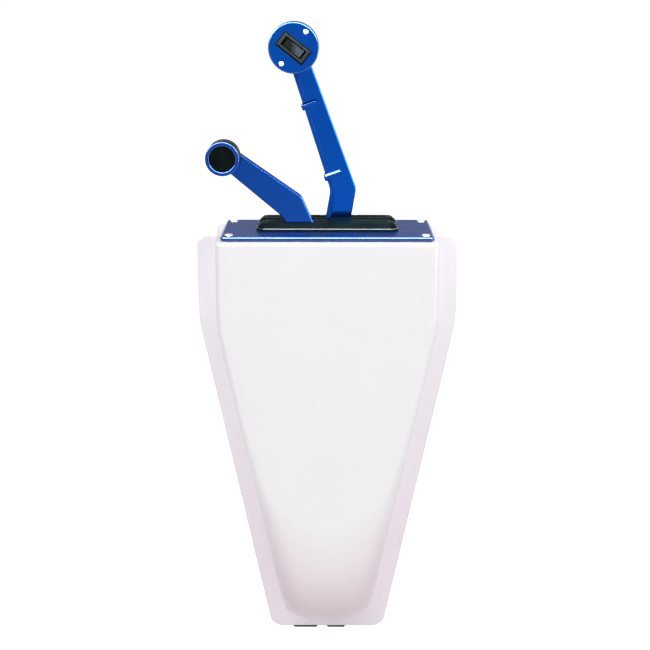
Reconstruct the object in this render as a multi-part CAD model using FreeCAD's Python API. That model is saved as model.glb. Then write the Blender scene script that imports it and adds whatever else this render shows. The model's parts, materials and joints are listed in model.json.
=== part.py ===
import FreeCAD, Part
import math
import os

# Side-mount two-lever engine control for a boat.
# Millimetres. X runs along the cockpit side, -Y points out of it towards the helm, Z is up.
# The origin is on the back face of the flange, at the middle of its lower edge.
# The throttle lever and the shift lever turn on one shaft that runs along Y.

# Pod flange, the wide rim that lies against the cockpit side
flange_half_width = 140.5
flange_top_z = 462.0
flange_bend_z = 368.0
flange_foot_half_width = 64.0
flange_bend_radius = 160.0
flange_top_radius = 12.0
flange_foot_radius = 15.0
flange_thickness = 5.0
flange_edge_chamfer = 1.6

# Pod body, measured on its front face
pod_half_width = 112.5
pod_top_z = 473.0
pod_depth = 105.0
pod_wall = 3.2
pod_draft = 6.4
pod_bend_z = 384.0
pod_bend_radius = 136.0
pod_taper_deg = 11.7
pod_foot_z = 27.0
pod_top_edge_radius = 4.0
chin_radius = 88.0
edge_bevel = 6.0
edge_bevel_break = 1.8

# Opening in the pod's top and the bosses under the deck screws
top_opening_half_width = 88.0
top_opening_front_y = -87.0
boss_half_width = 6.0
boss_height = 16.0

# Rubber pads in the lower rim of the flange
pad_left_x = -25.5
pad_left_width = 29.0
pad_right_x = 10.0
pad_right_width = 22.0
pad_drop = 2.0
pad_rise = 3.0
pad_recess = 3.6

# Deck plate
deck_length = 215.5
deck_width = 100.0
deck_thickness = 5.0
deck_corner_radius = 6.0
deck_edge_chamfer = 1.2
deck_back_gap = 1.0
groove_width = 1.6
groove_depth = 0.7
groove_front_y = -65.4
groove_rear_y = -29.9
deck_screw_end_inset = 8.25
deck_screw_front_inset = 10.5
deck_screw_rear_inset = 10.0

# Raised-head deck screws
deck_screw_head_radius = 4.4
deck_screw_head_height = 1.1

# Rubber boots and their slits
boot_length = 142.0
boot_pitch = 30.0
boot_gap = 1.0
boot_rim_height = 3.0
boot_height = 8.0
boot_corner = 7.0
boot_top_inset_x = 6.0
boot_top_inset_y = 4.5
boot_top_corner = 4.0
slot_length = 124.0
slot_width = 16.0
boot_neck = 2.0
boot_lip_thickness = 2.4
boot_lip_reach = 1.6
slit_sheet = 1.6
slit_sheet_depth = 0.4
slit_gap = 0.8
slit_clearance = 0.6

# Levers: both have the same thickness, shank and bend
lever_plane_mid_y = -42.5
lever_thickness = 12.0
shank_width = 26.0
eye_radius = 22.0
lever_edge_chamfer = 0.9
bend_outer_radius = 10.0
bend_inner_radius = 24.0
pivot_below_deck = 57.0

throttle_lean_deg = 10.0
throttle_bend_deg = 29.0
throttle_shank_length = 95.5
throttle_arm_length = 155.0
throttle_arm_width_low = 26.0
throttle_arm_width_high = 19.0

shift_lean_deg = -24.0
shift_bend_deg = 28.5
shift_shank_length = 88.4
shift_arm_length = 86.8
shift_arm_width_low = 28.5
shift_arm_width_high = 20.0

# Round head of the throttle lever
head_radius = 25.4
head_depth = 28.0
head_cover_thickness = 4.0
head_screw_pitch = 39.6
head_screw_head_radius = 2.6
head_screw_head_height = 1.5
head_fixing_pitch = 12.0
head_fixing_flats = 7.0
head_fixing_head_height = 2.8

# Rocker switch in the head, turned in the lever's own upright frame
switch_tilt_deg = 28.0
bezel_length = 34.4
bezel_width = 17.6
bezel_height = 2.6
bezel_slope = 2.2
bezel_opening_length = 25.0
bezel_opening_width = 9.9
switch_body_length = 27.0
switch_body_width = 13.0
switch_body_depth = 17.0
switch_pocket_clearance = 0.2
switch_terminal_room = 6.0
switch_well_depth = 7.5
terminal_offset = 8.0
terminal_thickness = 0.8
terminal_width = 4.8
terminal_length = 4.0
rocker_length = 20.5
rocker_width = 8.2
rocker_proud = 1.0
rocker_dish = 1.1
rocker_pivot_depth = 3.4
rocker_end_slope = 1.2
rocker_stem_width = 6.0
rocker_stem_depth = 2.4
rocker_pin_radius = 0.9
rocker_pin_clearance = 0.06
rocker_pin_set_back = 0.3

# Lead sleeve along the throttle lever, its clips and its connector
sleeve_diameter = 5.0
sleeve_proud = 1.0
sleeve_clearance = 0.1
sleeve_top_inset = 17.0
sleeve_foot_height = 38.5
clip_height = 5.5
clip_outer_wall = 2.4
clip_face_wall = 1.3
clip_tip_offset = 2.8
clip_tip_slope = 4.0
clip_tip_thickness = 0.5
clip_back_leg = 8.0
clip_low_place = 17.1
clip_high_place = 93.6
connector_width = 9.0
connector_depth = 7.0
connector_height = 13.0
connector_overlap = 1.5
connector_ridge = 0.6

# Shift knob
knob_radius = 17.0
knob_depth = 28.0
knob_ring_depth = 4.0
knob_ring_bore = 13.2
knob_insert_recess = 1.4
knob_screw_flats = 10.0
knob_screw_head_height = 4.0

# Pivot shaft with a collar between the levers
shaft_radius = 7.0
running_clearance = 0.05
end_clearance = 0.1
collar_radius = 12.0
shaft_screw_flats = 17.0
shaft_screw_head_height = 5.0

# Cranks that pull the control cables, each against its lever's front face; the angles are those of the lever
# standing upright
crank_thickness = 5.0
crank_radius = 70.0
crank_disc_radius = 25.0
crank_root_half_width = 20.0
crank_tip_radius = 8.0
throttle_crank_deg = 14.0
shift_crank_deg = 180.0
crank_screw_circle = 17.3
crank_screw_flats = 7.0
crank_screw_head_height = 3.5
cable_pin_radius = 3.175
cable_pin_reach = 19.5

# Gear detent: three notches in the shift crank's sector and a leaf spring with a round nose
detent_radius = 31.0
detent_step_deg = 24.0
detent_margin_deg = 16.0
detent_notch_radius = 3.0
detent_nose_radius = 2.6
detent_spring_thickness = 0.8
detent_spring_width = 4.4
detent_spring_end_x = -4.0
detent_tab_x = 30.0
detent_tab_length = 16.0
detent_screw_flats = 5.5
detent_screw_head_height = 2.0

# Hanging frame under the deck
frame_thickness = 3.0
frame_front_gap = 1.0
frame_rear_gap = 6.0
frame_half_width = 60.0
frame_narrow_half_width = 42.0
frame_shoulder_z = 400.0
frame_narrow_z = 320.0
frame_foot_z = 245.0
frame_shoulder_radius = 20.0
frame_foot_radius = 8.0
frame_flange_width = 9.0
frame_boss_radius = 12.5
frame_screw_x = 48.0
frame_screw_inset = 4.5
frame_screw_flats = 8.0
frame_screw_head_height = 3.5

# Cable anchor: a bar between the frame plates with a plate that reaches out on both sides
anchor_thickness = 4.0
anchor_half_width = 82.0
anchor_low_z = 240.0
anchor_high_z = 284.0
anchor_bar_half_width = 36.0
anchor_bar_height = 16.0
anchor_screw_x = 26.0
anchor_screw_z = 262.0
anchor_screw_flats = 8.0
anchor_screw_head_height = 3.5

# Clamps that hold the hubs of the control cables
cable_x = 67.0
cable_hub_radius = 5.1
clamp_z = 256.0
clamp_width = 27.0
clamp_height = 16.0
clamp_wall = 2.4
clamp_screw_pitch = 19.0
clamp_screw_flats = 5.5
clamp_screw_head_height = 2.2

# Stand-offs that the whole control is bolted up by, from behind the cockpit side
standoff_x = 34.0
standoff_high_z = 440.0
standoff_low_z = 290.0
standoff_flats = 12.0
standoff_thread_radius = 2.5
standoff_thread_depth = 10.0

# Friction brake on the throttle arm
brake_above_pivot = 17.6
brake_pad_radius = 4.5
brake_pad_clearance = 0.1
brake_pad_thickness = 0.8
brake_screw_radius = 3.0
brake_screw_stand_out = 1.5
brake_screw_flats = 10.0
brake_screw_head_height = 4.0

# Places worked out from the sizes above
deck_bottom_z = pod_top_z
deck_top_z = deck_bottom_z + deck_thickness
deck_back_y = -deck_back_gap
deck_front_y = deck_back_y - deck_width
deck_screw_x = deck_length / 2 - deck_screw_end_inset
deck_screw_front_y = deck_front_y + deck_screw_front_inset
deck_screw_rear_y = deck_back_y - deck_screw_rear_inset
pivot_z = deck_top_z - pivot_below_deck
boot_width = boot_pitch - boot_gap
throttle_y = lever_plane_mid_y + boot_pitch / 2
shift_y = lever_plane_mid_y - boot_pitch / 2
throttle_face_y = throttle_y - lever_thickness / 2
throttle_back_y = throttle_y + lever_thickness / 2
shift_face_y = shift_y - lever_thickness / 2
shift_back_y = shift_y + lever_thickness / 2
throttle_crank_face_y = throttle_face_y - crank_thickness
shift_crank_face_y = shift_face_y - crank_thickness
frame_rear_y = throttle_back_y + frame_rear_gap
frame_front_y = shift_crank_face_y - frame_front_gap
frame_rear_outer_y = frame_rear_y + frame_thickness
frame_front_outer_y = frame_front_y - frame_thickness
detent_nose_z = pivot_z - detent_radius - (detent_notch_radius - detent_nose_radius)
detent_spring_low_z = detent_nose_z - detent_nose_radius
detent_spring_y = (shift_crank_face_y + shift_face_y) / 2
boss_low_z = pod_top_z - boss_height
deck_screw_places = [
    (side * deck_screw_x, y) for side in (-1, 1) for y in (deck_screw_front_y, deck_screw_rear_y)
]
anchor_front_y = lever_plane_mid_y - anchor_thickness / 2
anchor_back_y = lever_plane_mid_y + anchor_thickness / 2
throttle_cable_y = throttle_face_y + cable_pin_reach / 2
shift_cable_y = shift_face_y + cable_pin_reach / 2

os.makedirs("parts", exist_ok=True)


def vec(x, y, z):
    return FreeCAD.Vector(x, y, z)


# An outline is a list of (a, b, corner radius); place turns (a, b) into a point in space.
def rounded_wire(outline, place):
    edges = []
    count = len(outline)
    corners = []
    for i in range(count):
        a, b, radius = outline[i]
        before = outline[i - 1]
        after = outline[(i + 1) % count]
        if radius <= 0:
            corners.append(((a, b), None, (a, b)))
            continue
        ux, uy = before[0] - a, before[1] - b
        wx, wy = after[0] - a, after[1] - b
        ul, wl = math.hypot(ux, uy), math.hypot(wx, wy)
        ux, uy, wx, wy = ux / ul, uy / ul, wx / wl, wy / wl
        half = math.acos(max(-1.0, min(1.0, ux * wx + uy * wy))) / 2
        reach = radius / math.tan(half)
        bx, by = ux + wx, uy + wy
        bl = math.hypot(bx, by)
        to_arc = radius / math.sin(half) - radius
        corners.append((
            (a + ux * reach, b + uy * reach),
            (a + bx / bl * to_arc, b + by / bl * to_arc),
            (a + wx * reach, b + wy * reach),
        ))
    for i in range(count):
        first, middle, last = corners[i]
        following = corners[(i + 1) % count][0]
        if middle is not None:
            edges.append(Part.Arc(place(*first), place(*middle), place(*last)).toShape())
        if math.dist(last, following) > 1e-6:
            edges.append(Part.LineSegment(place(*last), place(*following)).toShape())
    return Part.Wire(edges)


# A plate that stands in the XZ plane, from y_front to y_back
def upright_plate(outline, y_front, y_back):
    wire = rounded_wire(outline, lambda a, b: vec(a, y_front, b))
    return Part.Face(wire).extrude(vec(0, y_back - y_front, 0))


# A plate that lies in the XY plane, from z_low to z_high
def flat_plate(outline, z_low, z_high):
    wire = rounded_wire(outline, lambda a, b: vec(a, b, z_low))
    return Part.Face(wire).extrude(vec(0, 0, z_high - z_low))


def box(x_low, x_high, y_low, y_high, z_low, z_high):
    return Part.makeBox(x_high - x_low, y_high - y_low, z_high - z_low, vec(x_low, y_low, z_low))


# A cylinder along Y from y_front to y_back
def rod(radius, x, z, y_front, y_back):
    return Part.makeCylinder(radius, y_back - y_front, vec(x, y_front, z), vec(0, 1, 0))


# A cylinder along Z
def post(radius, x, y, z_low, z_high):
    return Part.makeCylinder(radius, z_high - z_low, vec(x, y, z_low), vec(0, 0, 1))


def hexagon(across_flats):
    corner = across_flats / math.sqrt(3)
    turns = [math.radians(60 * k) for k in range(6)]
    return [(corner * math.cos(turn), corner * math.sin(turn), 0) for turn in turns]


def rectangle(length, width, x, y, radius):
    a, b = length / 2, width / 2
    return [(x - a, y - b, radius), (x + a, y - b, radius), (x + a, y + b, radius), (x - a, y + b, radius)]


def octagon(length, width, corner, x, y):
    a, b = length / 2, width / 2
    return [
        (x - a, y - b + corner, 0),
        (x - a + corner, y - b, 0),
        (x + a - corner, y - b, 0),
        (x + a, y - b + corner, 0),
        (x + a, y + b - corner, 0),
        (x + a - corner, y + b, 0),
        (x - a + corner, y + b, 0),
        (x - a, y + b - corner, 0),
    ]


# A turned solid: points are (radius, height) pairs, height runs along direction from origin
def turned(points, origin, direction):
    corners = [vec(r, 0, h) for r, h in points]
    wire = Part.makePolygon(corners + [corners[0]])
    solid = Part.Face(wire).revolve(vec(0, 0, 0), vec(0, 0, 1), 360)
    solid.Placement = FreeCAD.Placement(origin, FreeCAD.Rotation(vec(0, 0, 1), direction))
    return solid


# A hexagon screw head that stands on origin; direction points away from the face it is tight against
def hex_head(across_flats, height, origin, direction):
    head = flat_plate(hexagon(across_flats), 0, height)
    head.Placement = FreeCAD.Placement(origin, FreeCAD.Rotation(vec(0, 0, 1), direction))
    return head


# A hexagon-head screw whose head stands on origin; direction points from the tip to the head
def hex_screw(across_flats, head_height, radius, length, origin, direction):
    screw = flat_plate(hexagon(across_flats), 0, head_height).fuse(post(radius, 0, 0, -length, 0))
    screw.Placement = FreeCAD.Placement(origin, FreeCAD.Rotation(vec(0, 0, 1), direction))
    return screw


def edges_where(shape, test):
    return [edge for edge in shape.Edges if test(edge)]


def save(name, shape):
    solids = shape.Solids
    if len(solids) > 1:
        shape = Part.makeCompound(solids)
    elif solids:
        shape = solids[0]
    shape.exportStep("parts/" + name + ".step")
    print("%-24s %2d solids  %9.1f mm3  %s" % (name, len(solids), shape.Volume, shape.isValid()))
    return shape


# Everything inboard of one of the pod's side walls, drawn in by inset; the wall is drafted towards the back
def inside_side_wall(side, inset, back_y, z_top):
    width = pod_half_width - inset
    foot = width - pod_bend_z * math.tan(math.radians(pod_taper_deg))
    outline = [
        (-2 * pod_half_width, 0, 0),
        (-2 * pod_half_width, z_top, 0),
        (width, z_top, 0),
        (width, pod_bend_z, pod_bend_radius),
        (foot, 0, 0),
    ]
    wire = rounded_wire(outline, lambda a, b: vec(side * a, -pod_depth, b))
    share = (pod_depth + back_y) / pod_depth
    return Part.Face(wire).extrude(vec(side * pod_draft * share, pod_depth + back_y, 0))


# The pod's solid form: its profile seen from the side, between the two side walls, with softened front edges
def pod_form(inset, back_y, z_top, bevel, bevel_break):
    front_y = inset - pod_depth
    profile = [
        (back_y, z_top, 0),
        (back_y, pod_foot_z + inset, 0),
        (front_y, pod_foot_z + inset, chin_radius - inset),
        (front_y, z_top, 0),
    ]
    reach = pod_half_width + pod_draft + 10
    wire = rounded_wire(profile, lambda a, b: vec(-reach, a, b))
    form = Part.Face(wire).extrude(vec(2 * reach, 0, 0))
    for side in (-1, 1):
        form = form.common(inside_side_wall(side, inset, back_y, z_top))
    tall = (pod_bend_z - pod_foot_z) / 2
    form = form.makeChamfer(
        bevel, edges_where(form, lambda e: e.BoundBox.YMax < front_y + 0.01 and e.BoundBox.ZLength > tall)
    )
    if bevel_break > 0:
        form = form.makeChamfer(bevel_break, edges_where(
            form, lambda e: e.BoundBox.YMax < front_y + 2 * bevel and e.BoundBox.ZLength > tall
        ))
    return form


def make_pod():
    pod = pod_form(0, 0, pod_top_z, edge_bevel, edge_bevel_break)
    rim = edges_where(pod, lambda e: e.BoundBox.ZMin > pod_top_z - 0.01 and e.BoundBox.YMin < -0.01)
    pod = pod.makeFillet(pod_top_edge_radius, rim)
    flange_outline = [
        (-flange_foot_half_width, 0, flange_foot_radius),
        (flange_foot_half_width, 0, flange_foot_radius),
        (flange_half_width, flange_bend_z, flange_bend_radius),
        (flange_half_width, flange_top_z, flange_top_radius),
        (-flange_half_width, flange_top_z, flange_top_radius),
        (-flange_half_width, flange_bend_z, flange_bend_radius),
    ]
    flange = upright_plate(flange_outline, -flange_thickness, 0)
    rim = edges_where(flange, lambda e: e.BoundBox.YMax < -flange_thickness + 0.01)
    pod = pod.fuse(flange.makeChamfer(flange_edge_chamfer, rim))
    hollow_bevel = edge_bevel - (2 - math.sqrt(2)) * pod_wall
    pod = pod.cut(pod_form(pod_wall, 1.0, pod_top_z - pod_wall, hollow_bevel, 0))
    pod = pod.cut(box(
        -top_opening_half_width, top_opening_half_width, top_opening_front_y, 1.0,
        pod_top_z - 2 * pod_wall, pod_top_z + 1.0,
    ))
    wall_middle = pod_half_width - pod_wall / 2
    for x, y in deck_screw_places:
        side = 1 if x > 0 else -1
        ends = sorted((x - side * boss_half_width, side * wall_middle))
        boss = box(
            ends[0], ends[1], max(y - boss_half_width, pod_wall / 2 - pod_depth), y + boss_half_width,
            boss_low_z, pod_top_z - pod_wall / 2,
        )
        pod = pod.fuse(boss)
    for x, width in ((pad_left_x, pad_left_width), (pad_right_x, pad_right_width)):
        pod = pod.cut(box(x - width / 2, x + width / 2, -pad_recess, 1.0, -1.0, pad_rise))
    return pod


def make_lower_pads():
    pads = []
    for x, width in ((pad_left_x, pad_left_width), (pad_right_x, pad_right_width)):
        half = width / 2
        outline = [
            (x - half, pad_rise, 0),
            (x - half, 0, 0),
            (x - half + pad_drop, -pad_drop, 0),
            (x + half - pad_drop, -pad_drop, 0),
            (x + half, 0, 0),
            (x + half, pad_rise, 0),
        ]
        pads.append(upright_plate(outline, -pad_recess, 0))
    return Part.makeCompound(pads)


# The opening in the deck that a boot's neck fills
def neck_outline(y, grow):
    return rectangle(slot_length + 2 * grow, slot_width + 2 * grow, 0, y, 0)


def make_deck():
    outline = rectangle(deck_length, deck_width, 0, (deck_front_y + deck_back_y) / 2, deck_corner_radius)
    deck = flat_plate(outline, deck_bottom_z, deck_top_z)
    deck = deck.makeChamfer(deck_edge_chamfer, edges_where(deck, lambda e: e.BoundBox.ZLength < 0.01))
    for y in (groove_front_y, groove_rear_y):
        groove = [
            (y - groove_width / 2, deck_top_z + 0.01, 0),
            (y, deck_top_z - groove_depth, 0),
            (y + groove_width / 2, deck_top_z + 0.01, 0),
        ]
        wire = rounded_wire(groove, lambda a, b: vec(-deck_length, a, b))
        deck = deck.cut(Part.Face(wire).extrude(vec(2 * deck_length, 0, 0)))
    for y in (shift_y, throttle_y):
        deck = deck.cut(flat_plate(neck_outline(y, boot_neck), deck_bottom_z - 1, deck_top_z + 1))
    return deck


# The heads of the screws that go through the deck plate into the pod's bosses
def make_deck_screws():
    return Part.makeCompound([
        post(deck_screw_head_radius, x, y, deck_top_z, deck_top_z + deck_screw_head_height)
        for x, y in deck_screw_places
    ])


def make_boot(y):
    low = octagon(boot_length, boot_width, boot_corner, 0, y)
    high = octagon(
        boot_length - 2 * boot_top_inset_x, boot_width - 2 * boot_top_inset_y, boot_top_corner, 0, y
    )
    rim_z = deck_top_z + boot_rim_height
    roof_wires = [
        rounded_wire(low, lambda a, b: vec(a, b, rim_z)),
        rounded_wire(high, lambda a, b: vec(a, b, deck_top_z + boot_height)),
    ]
    boot = flat_plate(low, deck_top_z, rim_z).fuse(Part.makeLoft(roof_wires, True, True))
    boot = boot.fuse(flat_plate(neck_outline(y, boot_neck), deck_bottom_z, deck_top_z))
    boot = boot.fuse(flat_plate(
        neck_outline(y, boot_neck + boot_lip_reach), deck_bottom_z - boot_lip_thickness, deck_bottom_z
    ))
    slot = flat_plate(
        neck_outline(y, 0), deck_bottom_z - 2 * boot_lip_thickness, deck_top_z + 2 * boot_height
    )
    return boot.cut(slot).removeSplitter()


# The two rubber sheets that close a boot's slit round the shank as it stands at rest
def make_slit_sheets(y, lean_deg):
    high_z = deck_top_z + boot_height - slit_sheet_depth
    low_z = high_z - slit_sheet
    sheet = flat_plate(neck_outline(y, 0), low_z, high_z)
    lean = math.radians(lean_deg)
    centre_x = (high_z - pivot_z) * math.tan(lean)
    half = shank_width / 2 / math.cos(lean) + slit_clearance + slit_sheet * abs(math.tan(lean))
    reach = 2.2 * half
    deep = lever_thickness / 2 + sleeve_proud + slit_clearance
    eye = [
        (centre_x - reach, y, 0),
        (centre_x - half, y - deep, 0),
        (centre_x + half, y - deep, 0),
        (centre_x + reach, y, 0),
        (centre_x + half, y + deep, 0),
        (centre_x - half, y + deep, 0),
    ]
    sheet = sheet.cut(flat_plate(eye, low_z - 1, high_z + 1))
    slit = box(-slot_length, slot_length, y - slit_gap / 2, y + slit_gap / 2, low_z - 1, high_z + 1)
    return sheet.cut(slit)


# A lever is drawn upright with its eye on the origin; u is to the right, w is up the shank.
# The left or right edge of the arm, drawn in by inset: where it meets the shank's edge, and its upper end
def arm_edge(numbers, side, inset):
    shank_length, arm_length, bend_deg, low_width, high_width = numbers
    bend = math.radians(bend_deg)
    along = (-math.sin(bend), math.cos(bend))
    across = (math.cos(bend), math.sin(bend))
    shank_u = side * (shank_width / 2 - inset)
    low = side * (low_width / 2 - inset)
    high = side * (high_width / 2 - inset)
    start = (across[0] * low, shank_length + across[1] * low)
    end = (along[0] * arm_length + across[0] * high, shank_length + along[1] * arm_length + across[1] * high)
    share = (shank_u - start[0]) / (end[0] - start[0])
    return (shank_u, start[1] + share * (end[1] - start[1])), end


def lever_outline(numbers, left_inset):
    bend = math.radians(numbers[2])
    past = numbers[4] / 2
    tip = (-math.sin(bend) * past, math.cos(bend) * past)
    left_corner, left_end = arm_edge(numbers, -1, left_inset)
    right_corner, right_end = arm_edge(numbers, 1, 0)
    round_end = past * 0.98 if left_inset == 0 else 0
    return [
        (left_corner[0], 0, 0),
        (left_corner[0], left_corner[1], bend_inner_radius + left_inset),
        (left_end[0] + tip[0], left_end[1] + tip[1], round_end),
        (right_end[0] + tip[0], right_end[1] + tip[1], round_end),
        (right_corner[0], right_corner[1], bend_outer_radius),
        (right_corner[0], 0, 0),
    ]


# Point on the arm: place is the distance up the arm from the bend, offset is to the right of its middle
def on_arm(numbers, place, offset):
    bend = math.radians(numbers[2])
    u = -math.sin(bend) * place + math.cos(bend) * offset
    w = numbers[0] + math.cos(bend) * place + math.sin(bend) * offset
    return u, w


# Turns a shape drawn upright at the origin to the lever's lean and sets it on the pivot
def lean_over(shape, lean_deg):
    shape = shape.copy()
    shape.rotate(vec(0, 0, 0), vec(0, 1, 0), lean_deg)
    shape.translate(vec(0, 0, pivot_z))
    return shape


# The screws that hold the crank show as two heads on the lever's back face
def make_lever(numbers, face_y, back_y):
    blade = upright_plate(lever_outline(numbers, 0), face_y, back_y)
    lever = blade.fuse(rod(eye_radius, 0, 0, face_y, back_y)).removeSplitter()
    outer = edges_where(lever, lambda e: e.BoundBox.YLength < 0.01 and e.BoundBox.ZMax > eye_radius)
    lever = lever.makeChamfer(lever_edge_chamfer, outer)
    lever = lever.cut(rod(shaft_radius + running_clearance, 0, 0, face_y - 1, back_y + 1))
    for side in (-1, 1):
        lever = lever.fuse(hex_head(
            crank_screw_flats, crank_screw_head_height,
            vec(side * crank_screw_circle, back_y, 0), vec(0, 1, 0),
        ))
    return lever


def crank_tip(arm_deg):
    turn = math.radians(arm_deg)
    return crank_radius * math.cos(turn), -crank_radius * math.sin(turn)


def make_crank(face_y, back_y, arm_deg):
    arm_outline = [
        (0, -crank_root_half_width, 0),
        (crank_radius, -crank_tip_radius, 0),
        (crank_radius, crank_tip_radius, 0),
        (0, crank_root_half_width, 0),
    ]
    arm = upright_plate(arm_outline, face_y, back_y)
    arm = arm.fuse(rod(crank_tip_radius, crank_radius, 0, face_y, back_y))
    arm.rotate(vec(0, 0, 0), vec(0, 1, 0), arm_deg)
    crank = rod(crank_disc_radius, 0, 0, face_y, back_y).fuse(arm).removeSplitter()
    return crank.cut(rod(shaft_radius + running_clearance, 0, 0, face_y - 1, back_y + 1))


# The pin that a control cable's end turns on, welded on the crank's back face and open towards the wall
def make_cable_pin(arm_deg, crank_back_y):
    u, w = crank_tip(arm_deg)
    return rod(cable_pin_radius, u, w, crank_back_y, crank_back_y + cable_pin_reach)


# Half width of the throttle arm at a place along it
def throttle_half_width(place):
    share = place / throttle_arm_length
    return (throttle_arm_width_low + share * (throttle_arm_width_high - throttle_arm_width_low)) / 2


# A round bar along the lead sleeve's path: down the left edge of arm and shank, half its diameter inboard
def sleeve_bar(radius):
    corner, end = arm_edge(throttle_numbers, -1, sleeve_diameter / 2)
    share = 1 - sleeve_top_inset / throttle_arm_length
    top = (corner[0] + (end[0] - corner[0]) * share, corner[1] + (end[1] - corner[1]) * share)
    foot = (corner[0], sleeve_foot_height)
    bend_radius = bend_inner_radius + sleeve_diameter / 2
    outline = [(top[0], top[1], 0), (corner[0], corner[1], bend_radius), (foot[0], foot[1], 0)]
    # the closing line from foot to top is dropped, which leaves the path itself
    path = Part.Wire(rounded_wire(outline, lambda a, b: vec(a, sleeve_y, b)).OrderedEdges[:3])
    along = vec(corner[0] - top[0], 0, corner[1] - top[1])
    circle = Part.Wire([Part.makeCircle(radius, vec(top[0], sleeve_y, top[1]), along)])
    return path.makePipeShell([circle], True, False)


def make_throttle_arm():
    arm = make_lever(throttle_numbers, throttle_face_y, throttle_back_y)
    rebate_width = sleeve_diameter + sleeve_clearance
    rebate_y = throttle_face_y + sleeve_diameter - sleeve_proud + sleeve_clearance
    keep = upright_plate(lever_outline(throttle_numbers, rebate_width), throttle_face_y - 1, rebate_y + 1)
    span = throttle_shank_length + throttle_arm_length
    slab = box(-span, span, throttle_face_y - 1, rebate_y, sleeve_foot_height, span)
    arm = arm.cut(slab.cut(keep))
    half = head_fixing_pitch / 2
    for offset in (-half, half):
        u, w = on_arm(throttle_numbers, throttle_arm_length + offset, 0)
        arm = arm.fuse(hex_head(
            head_fixing_flats, head_fixing_head_height, vec(u, throttle_back_y, w), vec(0, 1, 0)
        ))
    return arm


# Unit direction across the switch, in the lever's upright frame
def across_switch():
    tilt = math.radians(switch_tilt_deg)
    return math.sin(tilt), math.cos(tilt)


def head_screw_points():
    across = across_switch()
    half = head_screw_pitch / 2
    return [(head_u + side * half * across[0], head_w + side * half * across[1]) for side in (-1, 1)]


# Turns a shape drawn on the origin with its length along X to the switch's place in the head
def onto_switch(shape):
    shape.rotate(vec(0, 0, 0), vec(0, 1, 0), switch_tilt_deg)
    shape.translate(vec(head_u, 0, head_w))
    return shape


def switch_block(length, width, y_front, y_back):
    return onto_switch(box(-length / 2, length / 2, y_front, y_back, -width / 2, width / 2))


def make_head_housing():
    housing = rod(head_radius, head_u, head_w, cover_back_y, head_back_y)
    pocket_length = switch_body_length + 2 * switch_pocket_clearance
    pocket_width = switch_body_width + 2 * switch_pocket_clearance
    pocket_back_y = head_face_y + switch_body_depth + switch_terminal_room
    housing = housing.cut(switch_block(pocket_length, pocket_width, cover_back_y - 1, pocket_back_y))
    return housing.cut(sleeve_bar(sleeve_diameter / 2 + sleeve_clearance))


def make_head_cover():
    cover = rod(head_radius, head_u, head_w, head_face_y, cover_back_y)
    return cover.cut(switch_block(switch_body_length, switch_body_width, head_face_y - 1, cover_back_y + 1))


def make_head_cover_screws():
    return Part.makeCompound([
        rod(head_screw_head_radius, u, w, head_face_y - head_screw_head_height, head_face_y)
        for u, w in head_screw_points()
    ])


def make_bezel():
    low = rectangle(bezel_length, bezel_width, 0, 0, 0)
    high = rectangle(bezel_length - 2 * bezel_slope, bezel_width - 2 * bezel_slope, 0, 0, 0)
    frame = onto_switch(Part.makeLoft([
        rounded_wire(low, lambda a, b: vec(a, head_face_y, b)),
        rounded_wire(high, lambda a, b: vec(a, head_face_y - bezel_height, b)),
    ], True, True))
    opening = switch_block(
        bezel_opening_length, bezel_opening_width, head_face_y - 2 * bezel_height, head_face_y + 1
    )
    return frame.cut(opening)


# The rocker's pivot pin, across the switch
def rocker_pin(length, radius):
    across = across_switch()
    pin_y = head_face_y + rocker_pivot_depth
    start = vec(head_u - across[0] * length / 2, pin_y, head_w - across[1] * length / 2)
    return Part.makeCylinder(radius, length, start, vec(across[0], 0, across[1]))


def make_switch_body():
    back_y = head_face_y + switch_body_depth
    body = switch_block(switch_body_length, switch_body_width, head_face_y, back_y)
    body = body.cut(switch_block(
        bezel_opening_length, bezel_opening_width, head_face_y - 1, head_face_y + switch_well_depth
    ))
    for side in (-1, 1):
        x = side * terminal_offset
        terminal = box(
            x - terminal_thickness / 2, x + terminal_thickness / 2, back_y, back_y + terminal_length,
            -terminal_width / 2, terminal_width / 2,
        )
        body = body.fuse(onto_switch(terminal))
    return body.cut(rocker_pin(switch_body_width, rocker_pin_radius + rocker_pin_clearance))


def make_rocker():
    half = rocker_length / 2
    top = head_face_y - rocker_proud
    middle_y = head_face_y + rocker_pivot_depth
    outline = [
        (-half, top, 0),
        (0, top + rocker_dish, 0),
        (half, top, 0),
        (half - rocker_end_slope, middle_y, 0),
        (rocker_stem_width / 2, middle_y + rocker_stem_depth, 0),
        (-rocker_stem_width / 2, middle_y + rocker_stem_depth, 0),
        (-half + rocker_end_slope, middle_y, 0),
    ]
    wire = rounded_wire(outline, lambda a, b: vec(a, b, -rocker_width / 2))
    paddle = onto_switch(Part.Face(wire).extrude(vec(0, 0, rocker_width)))
    return paddle.fuse(rocker_pin(switch_body_width - 2 * rocker_pin_set_back, rocker_pin_radius))


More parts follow.
